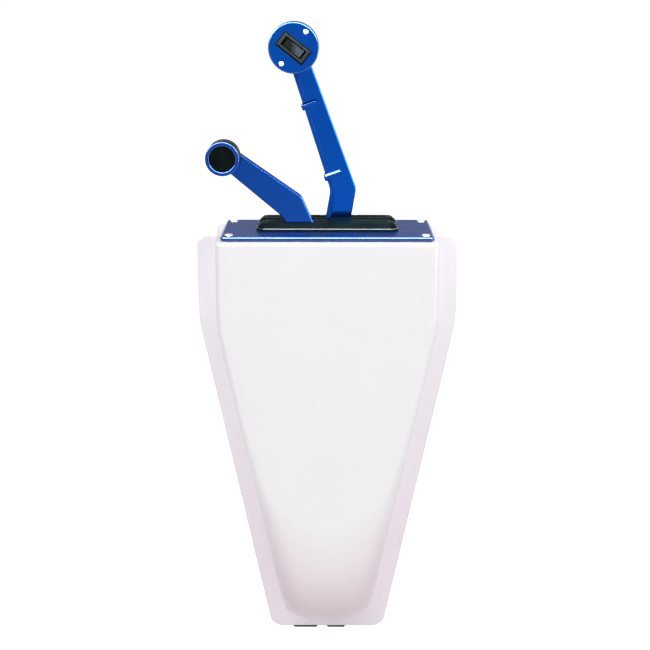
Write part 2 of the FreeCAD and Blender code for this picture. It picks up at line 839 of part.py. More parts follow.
# A snap clip goes round the arm's left edge and over the sleeve; its front leg runs out to a point
def make_clips(arm, sleeve):
    clips = []
    for place in (clip_low_place, clip_high_place):
        half = throttle_half_width(place)
        left = -(half + clip_outer_wall)
        face = throttle_face_y - sleeve_proud - clip_face_wall
        back = throttle_back_y + clip_face_wall
        outline = [
            (left, -clip_height / 2, 0),
            (clip_tip_offset - clip_tip_slope, -clip_height / 2, 0),
            (clip_tip_offset, clip_height / 2, 0),
            (left, clip_height / 2, 0),
        ]
        clip = upright_plate(outline, face, back)
        clip = clip.cut(box(
            clip_back_leg - half, shank_width, throttle_face_y, back + 1, -clip_height, clip_height
        ))
        ramp = [
            (sleeve_diameter - half, face - 0.01, 0),
            (clip_tip_offset + 0.01, face - 0.01, 0),
            (clip_tip_offset + 0.01, throttle_face_y - clip_tip_thickness, 0),
        ]
        wire = rounded_wire(ramp, lambda a, b: vec(a, b, -clip_height))
        clip = clip.cut(Part.Face(wire).extrude(vec(0, 0, 2 * clip_height)))
        clip.rotate(vec(0, 0, 0), vec(0, 1, 0), -throttle_bend_deg)
        u, w = on_arm(throttle_numbers, place, 0)
        clip.translate(vec(u, 0, w))
        clips.append(clip.cut(arm).cut(sleeve))
    return Part.makeCompound(clips)


# The plug at the sleeve's lower end, in front of the shank below the deck
def make_connector(sleeve):
    u = sleeve_diameter / 2 - shank_width / 2
    block = box(
        u - connector_width / 2, u + connector_width / 2, throttle_face_y - connector_depth, throttle_face_y,
        sleeve_foot_height - connector_height, sleeve_foot_height + connector_overlap,
    )
    ridge = box(
        u - connector_width / 2 - connector_ridge, u + connector_width / 2 + connector_ridge,
        throttle_face_y - connector_depth - connector_ridge, throttle_face_y,
        sleeve_foot_height - 3 * connector_overlap, sleeve_foot_height - 2 * connector_overlap,
    )
    return block.fuse(ridge).cut(sleeve)


# A turned piece of the knob; heights run from the shift arm's front face
def knob_piece(points):
    return turned(points, vec(knob_u, shift_face_y, knob_w), vec(0, -1, 0))


def make_knob_body():
    return knob_piece([
        (0, 0),
        (knob_radius, 0),
        (knob_radius, knob_depth - knob_ring_depth),
        (0, knob_depth - knob_ring_depth),
    ])


def make_knob_ring():
    return knob_piece([
        (knob_ring_bore, knob_depth - knob_ring_depth),
        (knob_radius, knob_depth - knob_ring_depth),
        (knob_radius, knob_depth),
        (knob_ring_bore, knob_depth),
    ])


def make_knob_insert():
    return knob_piece([
        (0, knob_depth - knob_ring_depth),
        (knob_ring_bore, knob_depth - knob_ring_depth),
        (knob_ring_bore, knob_depth - knob_insert_recess),
        (0, knob_depth - knob_insert_recess),
    ])


# The head of the screw that goes through the shift arm into the knob
def make_knob_screw():
    return hex_head(
        knob_screw_flats, knob_screw_head_height, vec(knob_u, shift_back_y, knob_w), vec(0, 1, 0)
    )


# Point at a distance from the pivot, turned from straight down towards +u
def below_pivot(radius, turn_deg):
    turn = math.radians(turn_deg)
    return radius * math.sin(turn), -radius * math.cos(turn)


# The shift crank's rim carries a notch for each gear, and the one in use stands over the spring's nose
def add_detent(crank):
    edge = detent_step_deg + detent_margin_deg
    left_u, left_w = below_pivot(2 * detent_radius, -edge)
    right_u, right_w = below_pivot(2 * detent_radius, edge)
    wedge_outline = [(0, 0, 0), (left_u, left_w, 0), (right_u, right_w, 0)]
    wedge = upright_plate(wedge_outline, shift_crank_face_y, shift_face_y)
    sector = rod(detent_radius, 0, 0, shift_crank_face_y, shift_face_y).common(wedge)
    sector = sector.cut(rod(crank_disc_radius - 1, 0, 0, shift_crank_face_y - 1, shift_face_y + 1))
    crank = crank.fuse(sector)
    notch_centre = pivot_z - detent_nose_z
    for step in (-1, 0, 1):
        u, w = below_pivot(notch_centre, step * detent_step_deg)
        crank = crank.cut(rod(detent_notch_radius, u, w, shift_crank_face_y - 1, shift_face_y + 1))
    return crank.removeSplitter()


def make_detent_spring():
    half = detent_spring_width / 2
    top_z = detent_spring_low_z + detent_spring_thickness
    strip = box(
        detent_spring_end_x, detent_tab_x + detent_tab_length, detent_spring_y - half, detent_spring_y + half,
        detent_spring_low_z, top_z,
    )
    spring = strip.fuse(rod(
        detent_nose_radius, 0, detent_nose_z, detent_spring_y - half, detent_spring_y + half
    ))
    screw_x = detent_tab_x + detent_tab_length / 2
    return spring.fuse(hex_head(
        detent_screw_flats, detent_screw_head_height, vec(screw_x, detent_spring_y, top_z), vec(0, 0, 1)
    ))


# Frame plate: an upright sheet with a flange turned outwards under the deck and a pressed boss round the
# shaft. It carries the heads of the screws into the deck and into the anchor, and gap is the room inside it
def make_frame_plate(inner_y, outer_y, gap):
    outward = math.copysign(1, outer_y - inner_y)
    low_y, high_y = sorted((inner_y, outer_y))
    outline = [
        (-frame_half_width, deck_bottom_z, 0),
        (-frame_half_width, frame_shoulder_z, frame_shoulder_radius),
        (-frame_narrow_half_width, frame_narrow_z, frame_shoulder_radius),
        (-frame_narrow_half_width, frame_foot_z, frame_foot_radius),
        (frame_narrow_half_width, frame_foot_z, frame_foot_radius),
        (frame_narrow_half_width, frame_narrow_z, frame_shoulder_radius),
        (frame_half_width, frame_shoulder_z, frame_shoulder_radius),
        (frame_half_width, deck_bottom_z, 0),
    ]
    plate = upright_plate(outline, low_y, high_y)
    boss_ys = sorted((outer_y, inner_y - outward * (gap - end_clearance)))
    plate = plate.fuse(rod(frame_boss_radius, 0, pivot_z, boss_ys[0], boss_ys[1]))
    flange_ys = sorted((inner_y, outer_y + outward * frame_flange_width))
    plate = plate.fuse(box(
        -frame_half_width, frame_half_width, flange_ys[0], flange_ys[1],
        deck_bottom_z - frame_thickness, deck_bottom_z,
    ))
    plate = plate.cut(rod(shaft_radius, 0, pivot_z, boss_ys[0] - 1, boss_ys[1] + 1))
    for side in (-1, 1):
        plate = plate.fuse(hex_head(
            anchor_screw_flats, anchor_screw_head_height,
            vec(side * anchor_screw_x, outer_y, anchor_screw_z), vec(0, outward, 0),
        ))
        plate = plate.fuse(hex_head(
            frame_screw_flats, frame_screw_head_height,
            vec(side * frame_screw_x, outer_y + outward * frame_screw_inset, deck_bottom_z - frame_thickness),
            vec(0, 0, -1),
        ))
    return plate.removeSplitter()


# The front plate carries a tab for the detent spring
def make_front_frame():
    plate = make_frame_plate(frame_front_y, frame_front_outer_y, frame_front_gap)
    half = detent_spring_width / 2
    plate = plate.fuse(box(
        detent_tab_x, detent_tab_x + detent_tab_length, frame_front_outer_y, detent_spring_y + half,
        detent_spring_low_z - frame_thickness, detent_spring_low_z,
    ))
    return plate.removeSplitter()


# The rear plate holds the brake screw
def make_rear_frame():
    plate = make_frame_plate(frame_rear_y, frame_rear_outer_y, frame_rear_gap)
    return plate.cut(rod(
        brake_screw_radius, 0, pivot_z + brake_above_pivot, frame_rear_y - 1, frame_rear_outer_y + 1
    ))


def make_standoffs():
    standoffs = []
    for x, z in standoff_places:
        outline = [(x + a, z + b, 0) for a, b, _ in hexagon(standoff_flats)]
        standoff = upright_plate(outline, frame_rear_outer_y, 0)
        standoffs.append(standoff.cut(rod(standoff_thread_radius, x, z, -standoff_thread_depth, 1)))
    return Part.makeCompound(standoffs)


def make_shaft():
    shaft = rod(shaft_radius, 0, pivot_z, frame_front_outer_y, frame_rear_outer_y)
    return shaft.fuse(rod(
        collar_radius, 0, pivot_z, shift_back_y + end_clearance, throttle_crank_face_y - end_clearance
    ))


# The screws in the shaft's ends, whose heads overlap the frame plates
def make_shaft_screws():
    return Part.makeCompound([
        hex_head(shaft_screw_flats, shaft_screw_head_height, vec(0, y, pivot_z), vec(0, direction, 0))
        for y, direction in ((frame_front_outer_y, -1), (frame_rear_outer_y, 1))
    ])


def make_brake_pad():
    front_y = throttle_back_y + brake_pad_clearance
    return rod(brake_pad_radius, 0, pivot_z + brake_above_pivot, front_y, front_y + brake_pad_thickness)


def make_brake_screw():
    tip_y = throttle_back_y + brake_pad_clearance + brake_pad_thickness
    head_y = frame_rear_outer_y + brake_screw_stand_out
    return hex_screw(
        brake_screw_flats, brake_screw_head_height, brake_screw_radius, head_y - tip_y,
        vec(0, head_y, pivot_z + brake_above_pivot), vec(0, 1, 0),
    )


def make_anchor():
    low_z = anchor_low_z
    clamp_top_z = clamp_z + clamp_height / 2 + 2
    outline = [
        (-anchor_half_width, low_z, 0),
        (anchor_half_width, low_z, 0),
        (anchor_half_width, clamp_top_z, 0),
        (anchor_bar_half_width, anchor_high_z, 0),
        (-anchor_bar_half_width, anchor_high_z, 0),
        (-anchor_half_width, clamp_top_z, 0),
    ]
    anchor = upright_plate(outline, anchor_front_y, anchor_back_y)
    anchor = anchor.fuse(box(
        -anchor_bar_half_width, anchor_bar_half_width, frame_front_y, frame_rear_y,
        anchor_screw_z - anchor_bar_height / 2, anchor_screw_z + anchor_bar_height / 2,
    ))
    return anchor


# The clamp's two screws show as heads on its outer face
def make_cable_clamp(side, cable_y, plate_y):
    outward = math.copysign(1, cable_y - plate_y)
    outer_y = cable_y + outward * (cable_hub_radius + clamp_wall)
    low_y, high_y = sorted((plate_y, outer_y))
    x = side * cable_x
    low_z, high_z = clamp_z - clamp_height / 2, clamp_z + clamp_height / 2
    block = box(x - clamp_width / 2, x + clamp_width / 2, low_y, high_y, low_z, high_z)
    block = block.cut(post(cable_hub_radius, x, cable_y, low_z - 1, high_z + 1))
    half = clamp_screw_pitch / 2
    for screw_x in (x - half, x + half):
        block = block.fuse(hex_head(
            clamp_screw_flats, clamp_screw_head_height, vec(screw_x, outer_y, clamp_z), vec(0, outward, 0)
        ))
    return block


# Lever sizes in one row each: shank length, arm length, bend, and the arm's width at its foot and at its end
throttle_numbers = (
    throttle_shank_length, throttle_arm_length, throttle_bend_deg,
    throttle_arm_width_low, throttle_arm_width_high,
)
shift_numbers = (
    shift_shank_length, shift_arm_length, shift_bend_deg,
    shift_arm_width_low, shift_arm_width_high,
)
head_u, head_w = on_arm(throttle_numbers, throttle_arm_length, 0)
knob_u, knob_w = on_arm(shift_numbers, shift_arm_length, 0)
head_back_y = throttle_face_y
head_face_y = head_back_y - head_depth
cover_back_y = head_face_y + head_cover_thickness
sleeve_y = throttle_face_y - sleeve_proud + sleeve_diameter / 2
standoff_places = [(x, z) for z in (standoff_high_z, standoff_low_z) for x in (-standoff_x, standoff_x)]
# side, the cable's y, and the y of the anchor face that its clamp stands on
cables = [(1, throttle_cable_y, anchor_back_y), (-1, shift_cable_y, anchor_front_y)]

# Pod and deck
save("pod_shell", make_pod())
save("lower_rim_pads", make_lower_pads())
save("deck_plate", make_deck())
save("deck_screws", make_deck_screws())
save("front_boot", make_boot(shift_y))
save("rear_boot", make_boot(throttle_y))
save("front_boot_slit", make_slit_sheets(shift_y, shift_lean_deg))
save("rear_boot_slit", make_slit_sheets(throttle_y, throttle_lean_deg))

# Frame under the deck, with the shaft, the brake, the detent's spring and the cable anchor
save("front_frame_plate", make_front_frame())
save("rear_frame_plate", make_rear_frame())
save("mounting_standoffs", make_standoffs())
save("pivot_shaft", make_shaft())
save("shaft_screws", make_shaft_screws())
save("brake_pad", make_brake_pad())
save("brake_screw", make_brake_screw())
save("detent_spring", make_detent_spring())
save("cable_anchor", make_anchor())
save("throttle_cable_clamp", make_cable_clamp(*cables[0]))
save("shift_cable_clamp", make_cable_clamp(*cables[1]))

# Everything that turns with the throttle lever
throttle_arm = make_throttle_arm()
sleeve = sleeve_bar(sleeve_diameter / 2)
throttle_pieces = {
    "throttle_arm": throttle_arm,
    "throttle_crank": make_crank(throttle_crank_face_y, throttle_face_y, throttle_crank_deg),
    "throttle_cable_pin": make_cable_pin(throttle_crank_deg, throttle_face_y),
    "lead_sleeve": sleeve,
    "lead_connector": make_connector(sleeve),
    "sleeve_clips": make_clips(throttle_arm, sleeve),
    "head_housing": make_head_housing(),
    "head_cover": make_head_cover(),
    "head_cover_screws": make_head_cover_screws(),
    "switch_bezel": make_bezel(),
    "switch_body": make_switch_body(),
    "trim_rocker": make_rocker(),
}
for name, shape in throttle_pieces.items():
    save(name, lean_over(shape, throttle_lean_deg))

# Everything that turns with the shift lever
shift_crank = add_detent(make_crank(shift_crank_face_y, shift_face_y, shift_crank_deg))
shift_pieces = {
    "shift_arm": make_lever(shift_numbers, shift_face_y, shift_back_y),
    "shift_crank": shift_crank,
    "shift_cable_pin": make_cable_pin(shift_crank_deg, shift_face_y),
    "knob_body": make_knob_body(),
    "knob_ring": make_knob_ring(),
    "knob_insert": make_knob_insert(),
    "knob_screw": make_knob_screw(),
}
for name, shape in shift_pieces.items():
    save(name, lean_over(shape, shift_lean_deg))
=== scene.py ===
import json
import math

import bmesh
import bpy
from mathutils import Matrix, Vector


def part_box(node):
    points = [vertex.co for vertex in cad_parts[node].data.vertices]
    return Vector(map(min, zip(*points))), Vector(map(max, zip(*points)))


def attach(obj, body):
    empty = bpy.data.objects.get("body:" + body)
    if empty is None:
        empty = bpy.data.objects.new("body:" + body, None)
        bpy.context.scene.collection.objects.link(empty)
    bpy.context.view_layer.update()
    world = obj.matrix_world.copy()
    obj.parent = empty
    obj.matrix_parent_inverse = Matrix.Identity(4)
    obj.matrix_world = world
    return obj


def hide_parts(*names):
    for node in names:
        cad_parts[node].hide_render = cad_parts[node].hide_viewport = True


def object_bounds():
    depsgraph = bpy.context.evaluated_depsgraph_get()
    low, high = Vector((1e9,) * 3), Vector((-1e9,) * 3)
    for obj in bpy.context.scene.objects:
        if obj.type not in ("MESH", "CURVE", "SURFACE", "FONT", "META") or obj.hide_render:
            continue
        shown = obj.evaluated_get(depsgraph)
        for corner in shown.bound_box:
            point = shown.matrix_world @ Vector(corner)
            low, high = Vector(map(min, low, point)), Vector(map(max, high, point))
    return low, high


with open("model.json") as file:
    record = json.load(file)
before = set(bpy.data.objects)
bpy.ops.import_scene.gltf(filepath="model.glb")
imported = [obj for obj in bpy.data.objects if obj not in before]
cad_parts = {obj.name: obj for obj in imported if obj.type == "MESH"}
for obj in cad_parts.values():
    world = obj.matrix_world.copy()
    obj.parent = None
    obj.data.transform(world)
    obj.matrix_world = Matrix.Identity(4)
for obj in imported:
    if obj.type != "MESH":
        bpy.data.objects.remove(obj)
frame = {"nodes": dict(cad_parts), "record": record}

# Side-mount two-lever engine control for a boat, dressed around its CAD frame.
# Metres; X runs along the cockpit side, -Y points to the helm, Z is up.

nodes = frame["nodes"]
cadLow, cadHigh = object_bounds()
print("frame loaded with", len(nodes), "nodes")

# Camera, where the photograph was taken from
cameraView = {
    "place": (0.003, -1.414, 0.7342),
    "tiltDownDeg": 14.81,
    "turnLeftDeg": 0.232,
    "focalPixels": 1333.2,
    "imagePixels": 650,
    "sensorWidth": 36.0,
    "nearClip": 0.05,
}


def addCamera(view):
    camera = bpy.data.objects.new("camera", bpy.data.cameras.new("camera"))
    bpy.context.scene.collection.objects.link(camera)
    camera.data.sensor_width = view["sensorWidth"]
    camera.data.lens = view["focalPixels"] / view["imagePixels"] * view["sensorWidth"]
    camera.data.clip_start = view["nearClip"]
    camera.location = view["place"]
    camera.rotation_euler = (
        math.radians(90 - view["tiltDownDeg"]), 0, math.radians(view["turnLeftDeg"])
    )
    bpy.context.scene.camera = camera


addCamera(cameraView)
bpy.context.scene.view_settings.view_transform = "Standard"


# Sets a node's inputs, and links those whose value is another node's socket
def feed(tree, node, inputs):
    for key, value in inputs.items():
        if isinstance(value, bpy.types.NodeSocket):
            tree.links.new(value, node.inputs[key])
        else:
            node.inputs[key].default_value = value


def put(tree, kind, inputs, **settings):
    node = tree.nodes.new(kind)
    for key, value in settings.items():
        setattr(node, key, value)
    feed(tree, node, inputs)
    return node


def calculate(tree, operation, *values):
    return put(tree, "ShaderNodeMath", dict(enumerate(values)), operation=operation).outputs[0]


# Building blocks for materials: every pattern reads Object coordinates
def newMaterial(name):
    material = bpy.data.materials.new(name)
    material.use_nodes = True
    return material, material.node_tree, material.node_tree.nodes["Principled BSDF"]


def objectPlace(tree, stretch=(1, 1, 1)):
    coordinates = tree.nodes.new("ShaderNodeTexCoord")
    return put(tree, "ShaderNodeMapping", {
        "Vector": coordinates.outputs["Object"], "Scale": stretch,
    }).outputs["Vector"]


def splitPlace(tree):
    return put(tree, "ShaderNodeSeparateXYZ", {"Vector": objectPlace(tree)}).outputs


def grain(tree, scale, detail=4.0, stretch=(1, 1, 1)):
    return put(tree, "ShaderNodeTexNoise", {
        "Vector": objectPlace(tree, stretch), "Scale": scale, "Detail": detail,
    }).outputs["Fac"]


# Maps a value on to low..high; the plain range is where most of a grain's values lie
def between(tree, value, low, high, fromLow=0.32, fromHigh=0.68):
    return put(tree, "ShaderNodeMapRange", {
        "Value": value, "From Min": fromLow, "From Max": fromHigh, "To Min": low, "To Max": high,
    }).outputs["Result"]


# First and second are colours of three numbers, or sockets that carry a colour
def blendColours(tree, share, first, second):
    ends = {}
    for key, end in (("A", first), ("B", second)):
        ends[key] = end if isinstance(end, bpy.types.NodeSocket) else (*end, 1)
    mix = put(tree, "ShaderNodeMix", {"Factor": share, **ends}, data_type="RGBA")
    return next(out for out in mix.outputs if out.type == "RGBA")


def roughen(tree, shader, height, distance, strength):
    bump = put(tree, "ShaderNodeBump", {
        "Height": height, "Distance": distance, "Strength": strength,
    })
    feed(tree, shader, {"Normal": bump.outputs["Normal"]})


mouldedWhite = {
    "front": (0.775, 0.762, 0.780),
    # the chin's tone is painted shade
    "chinShade": (0.632, 0.512, 0.572),
    # the wall's tones are painted light and shade: lighter than the front high up, to make up for
    # the shade that the wall lies in, and darker and pinker low down
    "wallLitHigh": (0.83, 0.79, 0.84),
    "wallShadedLow": (0.80, 0.73, 0.785),
    "chinShadeFade": (0.055, 0.16),     # heights between which the chin's tone turns into the front's
    "chinShadeArch": -11.0,
    "wallShadeFade": (0.1, 0.42),       # the same for the low and the high tone of the wall
    "depthFade": (-0.06, -0.008),  # Y between which the front's tone turns into the wall's
    "cloudScale": 14,
    "cloudShare": 0.1,
    "roughness": (0.34, 0.46),
    "roughScale": 40,
    "peelScale": 260,
    "peelDepth": 0.00006,
    "shine": 0.42,
}


# White moulding, pinker on the chin and on the flange than on its front: painted shade on the
# chin and low on the flange, and painted light high on the flange
def makeMouldedWhite(values):
    material, tree, shader = newMaterial("mouldedWhite")
    place = splitPlace(tree)
    # the chin's painted shade reaches higher at the sides: its height is Z less a share of X
    # squared
    squared = calculate(tree, "POWER", place["X"], 2.0)
    arched = calculate(tree, "MULTIPLY_ADD", squared, values["chinShadeArch"], place["Z"])
    chinShadeShare = between(tree, arched, 1, 0, *values["chinShadeFade"])
    front = blendColours(tree, chinShadeShare, values["front"], values["chinShade"])
    highShare = between(tree, place["Z"], 0, 1, *values["wallShadeFade"])
    wall = blendColours(tree, highShare, values["wallShadedLow"], values["wallLitHigh"])
    wallShare = between(tree, place["Y"], 0, 1, *values["depthFade"])
    clouds = grain(tree, values["cloudScale"], detail=2.0)
    cloudy = calculate(tree, "MULTIPLY_ADD", clouds, values["cloudShare"], wallShare)
    feed(tree, shader, {
        "Base Color": blendColours(tree, cloudy, front, wall),
        "Roughness": between(tree, grain(tree, values["roughScale"]), *values["roughness"]),
        "Specular IOR Level": values["shine"],
    })
    peel = grain(tree, values["peelScale"], detail=2.0)
    roughen(tree, shader, peel, values["peelDepth"], strength=0.5)
    return material


blueFinish = {
    "name": "blueAnodised",
    "deep": (0.0010, 0.054, 0.320),
    "bright": (0.0014, 0.063, 0.355),
    "edge": (0.06, 0.09, 0.22, 1),
    "metallic": 1.0,
    "roughness": (0.13, 0.19),
    "coat": 0.05,
    "coatIor": 1.5,
    "coatRoughness": 0.06,
    "cloudScale": 9,
    "lineScale": 2600,
    "lineStretch": (0.03, 1, 1),
    "lineDepth": 0.000003,
}
deckFinish = {
    **blueFinish,
    "name": "deckBlue",
    "deep": (0.0040, 0.036, 0.160),
    "bright": (0.0055, 0.044, 0.190),
    "edge": (0.06, 0.09, 0.25, 1),
    "metallic": 0.66,
    "roughness": (0.34, 0.42),
    "coat": 0.08,
}
# A darker, purpler copy of the blue anodising, for the short arm and the knob ring: painted shade
shadedBlueFinish = {
    **blueFinish,
    "name": "shortArmBlue",
    "deep": (0.0070, 0.041, 0.225),
    "bright": (0.0040, 0.052, 0.280),
}


def makeBlueAnodised(values):
    material, tree, shader = newMaterial(values["name"])
    lines = grain(tree, values["lineScale"], detail=2.0, stretch=values["lineStretch"])
    clouds = between(tree, grain(tree, values["cloudScale"], detail=2.0), 0, 1)
    feed(tree, shader, {
        "Base Color": blendColours(tree, clouds, values["deep"], values["bright"]),
        "Roughness": between(tree, lines, *values["roughness"]),
        "Metallic": values["metallic"],
        "Specular Tint": values["edge"],
        "Coat Weight": values["coat"],
        "Coat IOR": values["coatIor"],
        "Coat Roughness": values["coatRoughness"],
    })
    roughen(tree, shader, lines, values["lineDepth"], strength=0.2)
    return material


# The rounded edges of a coated piece are more polished than its faces
def polished(values):
    return {**values, "name": values["name"] + "Edge", "coat": 0.85, "coatIor": 1.6}


rubberFinish = {
    "name": "bootRubber",
    "dark": (0.0040, 0.0130, 0.0150),
    "worn": (0.0085, 0.0205, 0.0235),
    "cloudScale": 55,
    "roughness": (0.28, 0.40),
    "roughScale": 90,
    "shine": 0.004,
    "coat": 0.0,
    "coatRoughness": 0.12,
    "grainScale": 900,
    "grainDepth": 0.00002,
}


def makeBootRubber(values):
    material, tree, shader = newMaterial(values["name"])
    clouds = between(tree, grain(tree, values["cloudScale"], detail=6.0), 0, 1)
    patches = grain(tree, values["roughScale"], detail=5.0)
    feed(tree, shader, {
        "Base Color": blendColours(tree, clouds, values["dark"], values["worn"]),
        "Roughness": between(tree, patches, *values["roughness"]),
        "Specular IOR Level": values["shine"],
        "Coat Weight": values["coat"],
        "Coat Roughness": values["coatRoughness"],
    })
    fine = grain(tree, values["grainScale"], detail=3.0)
    roughen(tree, shader, fine, values["grainDepth"], strength=0.4)
    return material


plasticGrain = {
    "cloudScale": 70,
    "roughScale": 120,
    "grainScale": 1200,
    "grainDepth": 0.00002,
    # the next two break up the painted light of the switch's plastic
    "litNoiseScale": 300,
    "litNoiseLeast": 0.75,
}


def makePlastic(name, dark, light, roughness, shine):
    material, tree, shader = newMaterial(name)
    clouds = between(tree, grain(tree, plasticGrain["cloudScale"], detail=5.0), 0, 1)
    feed(tree, shader, {
        "Base Color": blendColours(tree, clouds, dark, light),
        "Roughness": between(tree, grain(tree, plasticGrain["roughScale"]), *roughness),
        "Specular IOR Level": shine,
    })
    fine = grain(tree, plasticGrain["grainScale"], detail=2.0)
    roughen(tree, shader, fine, plasticGrain["grainDepth"], strength=0.5)
    return material


# Plastic with painted light: it turns paler along one axis, towards the side that the light falls
# on, given as (axis, place of the dark end, place of the pale end)
def makeLitSidePlastic(name, dark, pale, litRamp, roughness, shine):
    material, tree, shader = newMaterial(name)
    share = between(tree, splitPlace(tree)[litRamp[0]], 0, 1, litRamp[1], litRamp[2])
    # grain that breaks up the painted light; worn is the painted light's share
    litNoise = between(tree, grain(tree, plasticGrain["litNoiseScale"]), plasticGrain["litNoiseLeast"], 1)
    worn = calculate(tree, "MULTIPLY", share, litNoise)
    feed(tree, shader, {
        "Base Color": blendColours(tree, worn, dark, pale),
        "Roughness": between(tree, grain(tree, plasticGrain["roughScale"]), *roughness),
        "Specular IOR Level": shine,
    })
    return material


metalGrain = {
    "cloudScale": 25,
    "lineScale": 2400,
    "lineStretch": (0.05, 1, 1),
    "lineDepth": 0.000004,
}


def makeMetal(name, dark, light, roughness):
    material, tree, shader = newMaterial(name)
    lines = grain(tree, metalGrain["lineScale"], detail=3.0, stretch=metalGrain["lineStretch"])
    clouds = between(tree, grain(tree, metalGrain["cloudScale"], detail=2.0), 0, 1)
    feed(tree, shader, {
        "Base Color": blendColours(tree, clouds, dark, light),
        "Roughness": between(tree, lines, *roughness),
        "Metallic": 1.0,
    })
    roughen(tree, shader, lines, metalGrain["lineDepth"], strength=0.2)
    return material


# One finish for each material slot of the record; the plain ones as name, dark and light tone,
# roughness from and to, and shine
finishes = {
    "white_plastic": makeMouldedWhite(mouldedWhite),
    "black_rubber": makeBootRubber(rubberFinish),
    "blue_anodised": makeBlueAnodised(blueFinish),
    "bright_steel": makeMetal(
        "brightSteel", (0.78, 0.78, 0.79), (0.88, 0.88, 0.89), (0.10, 0.16)
    ),
    "zinc_steel": makeMetal(
        "zincSteel", (0.50, 0.51, 0.52), (0.58, 0.59, 0.60), (0.3, 0.4)
    ),
    "spring_steel": makeMetal(
        "springSteel", (0.24, 0.25, 0.28), (0.30, 0.31, 0.34), (0.25, 0.33)
    ),
    "friction_pad": makePlastic(
        "frictionPad", (0.10, 0.08, 0.06), (0.2, 0.17, 0.13), (0.8, 0.92), 0.2
    ),
    "black_plastic": makePlastic(
        "blackPlastic", (0.003, 0.0062, 0.0058), (0.0060, 0.0105, 0.0100), (0.3, 0.42), 0.006
    ),
    "clip_plastic": makePlastic(
        "clipPlastic", (0.0024, 0.066, 0.34), (0.0030, 0.070, 0.35), (0.16, 0.24), 0.03
    ),
    "sleeve_rubber": makePlastic(
        "sleeveRubber", (0.0024, 0.064, 0.34), (0.0030, 0.070, 0.35), (0.3, 0.4), 0.02
    ),
    # the rocker's paddle has painted light: its half towards +X is paler
    "rocker_plastic": makeLitSidePlastic(
        "rockerPlastic", (0.003, 0.0045, 0.0045), (0.080, 0.100, 0.130),
        ("X", -0.0365, -0.031), (0.26, 0.36), 0.12
    ),
}
# The switch's frame has painted light: it is paler on its front than on its slopes
framePlastic = makeLitSidePlastic(
    "framePlastic", (0.0015, 0.002, 0.0018), (0.030, 0.048, 0.045),
    ("Y", -0.0634, -0.0638), (0.34, 0.44), 0.07
)
blueEdge = makeBlueAnodised(polished(blueFinish))
deckBlue = makeBlueAnodised(deckFinish)
deckEdge = makeBlueAnodised(polished(deckFinish))
shortArmBlue = makeBlueAnodised(shadedBlueFinish)
wornRubber = makeBootRubber({**rubberFinish, "name": "wornRubber", "coat": 1.0})
slotOfNode = {entry["node"]: entry["material_slot"] for entry in frame["record"]["subparts"]}
bodies = frame["record"]["behaviour"]["bodies"]
bodyOfNode = {name: body for body, members in bodies.items() for name in members}

for node in nodes.values():
    node.data.materials.clear()
    node.data.materials.append(finishes[slotOfNode[node.name]])
print("materials made:", len(finishes))


# Adds a mesh object with its finish, a second finish for its faces of index 1, and the CAD nodes
# that it stands for; it is shaded smooth up to sharpDeg, or as its own normals say
def addPiece(name, mesh, slot, body, replaced, sharpDeg, finish=None, edgeFinish=None):
    piece = bpy.data.objects.new(name, mesh)
    bpy.context.scene.collection.objects.link(piece)
    wanted = [finish or finishes[slot]] + ([edgeFinish] if edgeFinish else [])
    for i, material in enumerate(wanted):
        if i < len(mesh.materials):
            mesh.materials[i] = material
        else:
            mesh.materials.append(material)
    for polygon in mesh.polygons:
        polygon.use_smooth = True
    if sharpDeg:
        mesh.set_sharp_from_angle(angle=math.radians(sharpDeg))
    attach(piece, body)
    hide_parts(*replaced)


def meshFrom(name, points, faces):
    mesh = bpy.data.meshes.new(name)
    mesh.from_pydata(points, [], faces)
    mesh.validate()
    return mesh


# Bakes an object's modifiers into a plain mesh and removes the object
def settle(worker):
    bpy.context.view_layer.update()
    ready = worker.evaluated_get(bpy.context.evaluated_depsgraph_get())
    mesh = bpy.data.meshes.new_from_object(ready)
    bpy.data.objects.remove(worker)
    return mesh


def workObject(name, mesh):
    worker = bpy.data.objects.new(name, mesh)
    bpy.context.scene.collection.objects.link(worker)
    return worker


softening = {
    "mergeDistance": 2e-6,
    "flatDeg": 0.6,      # faces that meet flatter than this are one face
    "edgeDeg": 24,       # edges sharper than this are rounded
}


# A copy of a CAD node with its hard edges rounded; rim is (distance from the node's middle,
# width) for edges that far out, which get a width of their own
def softened(nodeName, pieceName, width, segments, rim=None, finish=None, edgeFinish=None):
    mesh = nodes[nodeName].data.copy()
    shape = bmesh.new()
    shape.from_mesh(mesh)
    bmesh.ops.remove_doubles(shape, verts=shape.verts, dist=softening["mergeDistance"])
    bmesh.ops.dissolve_limit(
        shape, angle_limit=math.radians(softening["flatDeg"]),
        verts=shape.verts, edges=shape.edges, delimit=set()
    )
    low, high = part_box(nodeName)
    middle = (low + high) / 2
    widest = max(width, rim[1]) if rim else width
    sharpest = math.radians(softening["edgeDeg"])
    weights = shape.edges.layers.float.new("bevel_weight_edge")
    for edge in shape.edges:
        if len(edge.link_faces) == 2 and edge.calc_face_angle() > sharpest:
            out = min(
                math.hypot(vert.co.x - middle.x, vert.co.z - middle.z) for vert in edge.verts
            )
            edge[weights] = (rim[1] if rim and out > rim[0] else width) / widest
    for face in shape.faces:
        face.smooth = True
        face.material_index = 0
    shape.to_mesh(mesh)
    shape.free()
    slot, body = slotOfNode[nodeName], bodyOfNode[nodeName]
    mesh.materials.clear()
    mesh.materials.append(finish or finishes[slot])
    if edgeFinish:
        mesh.materials.append(edgeFinish)
    worker = workObject(pieceName + "Work", mesh)
    bevel = worker.modifiers.new("edges", "BEVEL")
    bevel.width = widest
    bevel.segments = segments
    bevel.limit_method = "WEIGHT"
    bevel.miter_outer = "MITER_ARC"
    bevel.material = 1 if edgeFinish else 0
    worker.modifiers.new("flatFaces", "WEIGHTED_NORMAL").keep_sharp = True
    addPiece(pieceName, settle(worker), slot, body, [nodeName], sharpDeg=None,
             finish=finish, edgeFinish=edgeFinish)


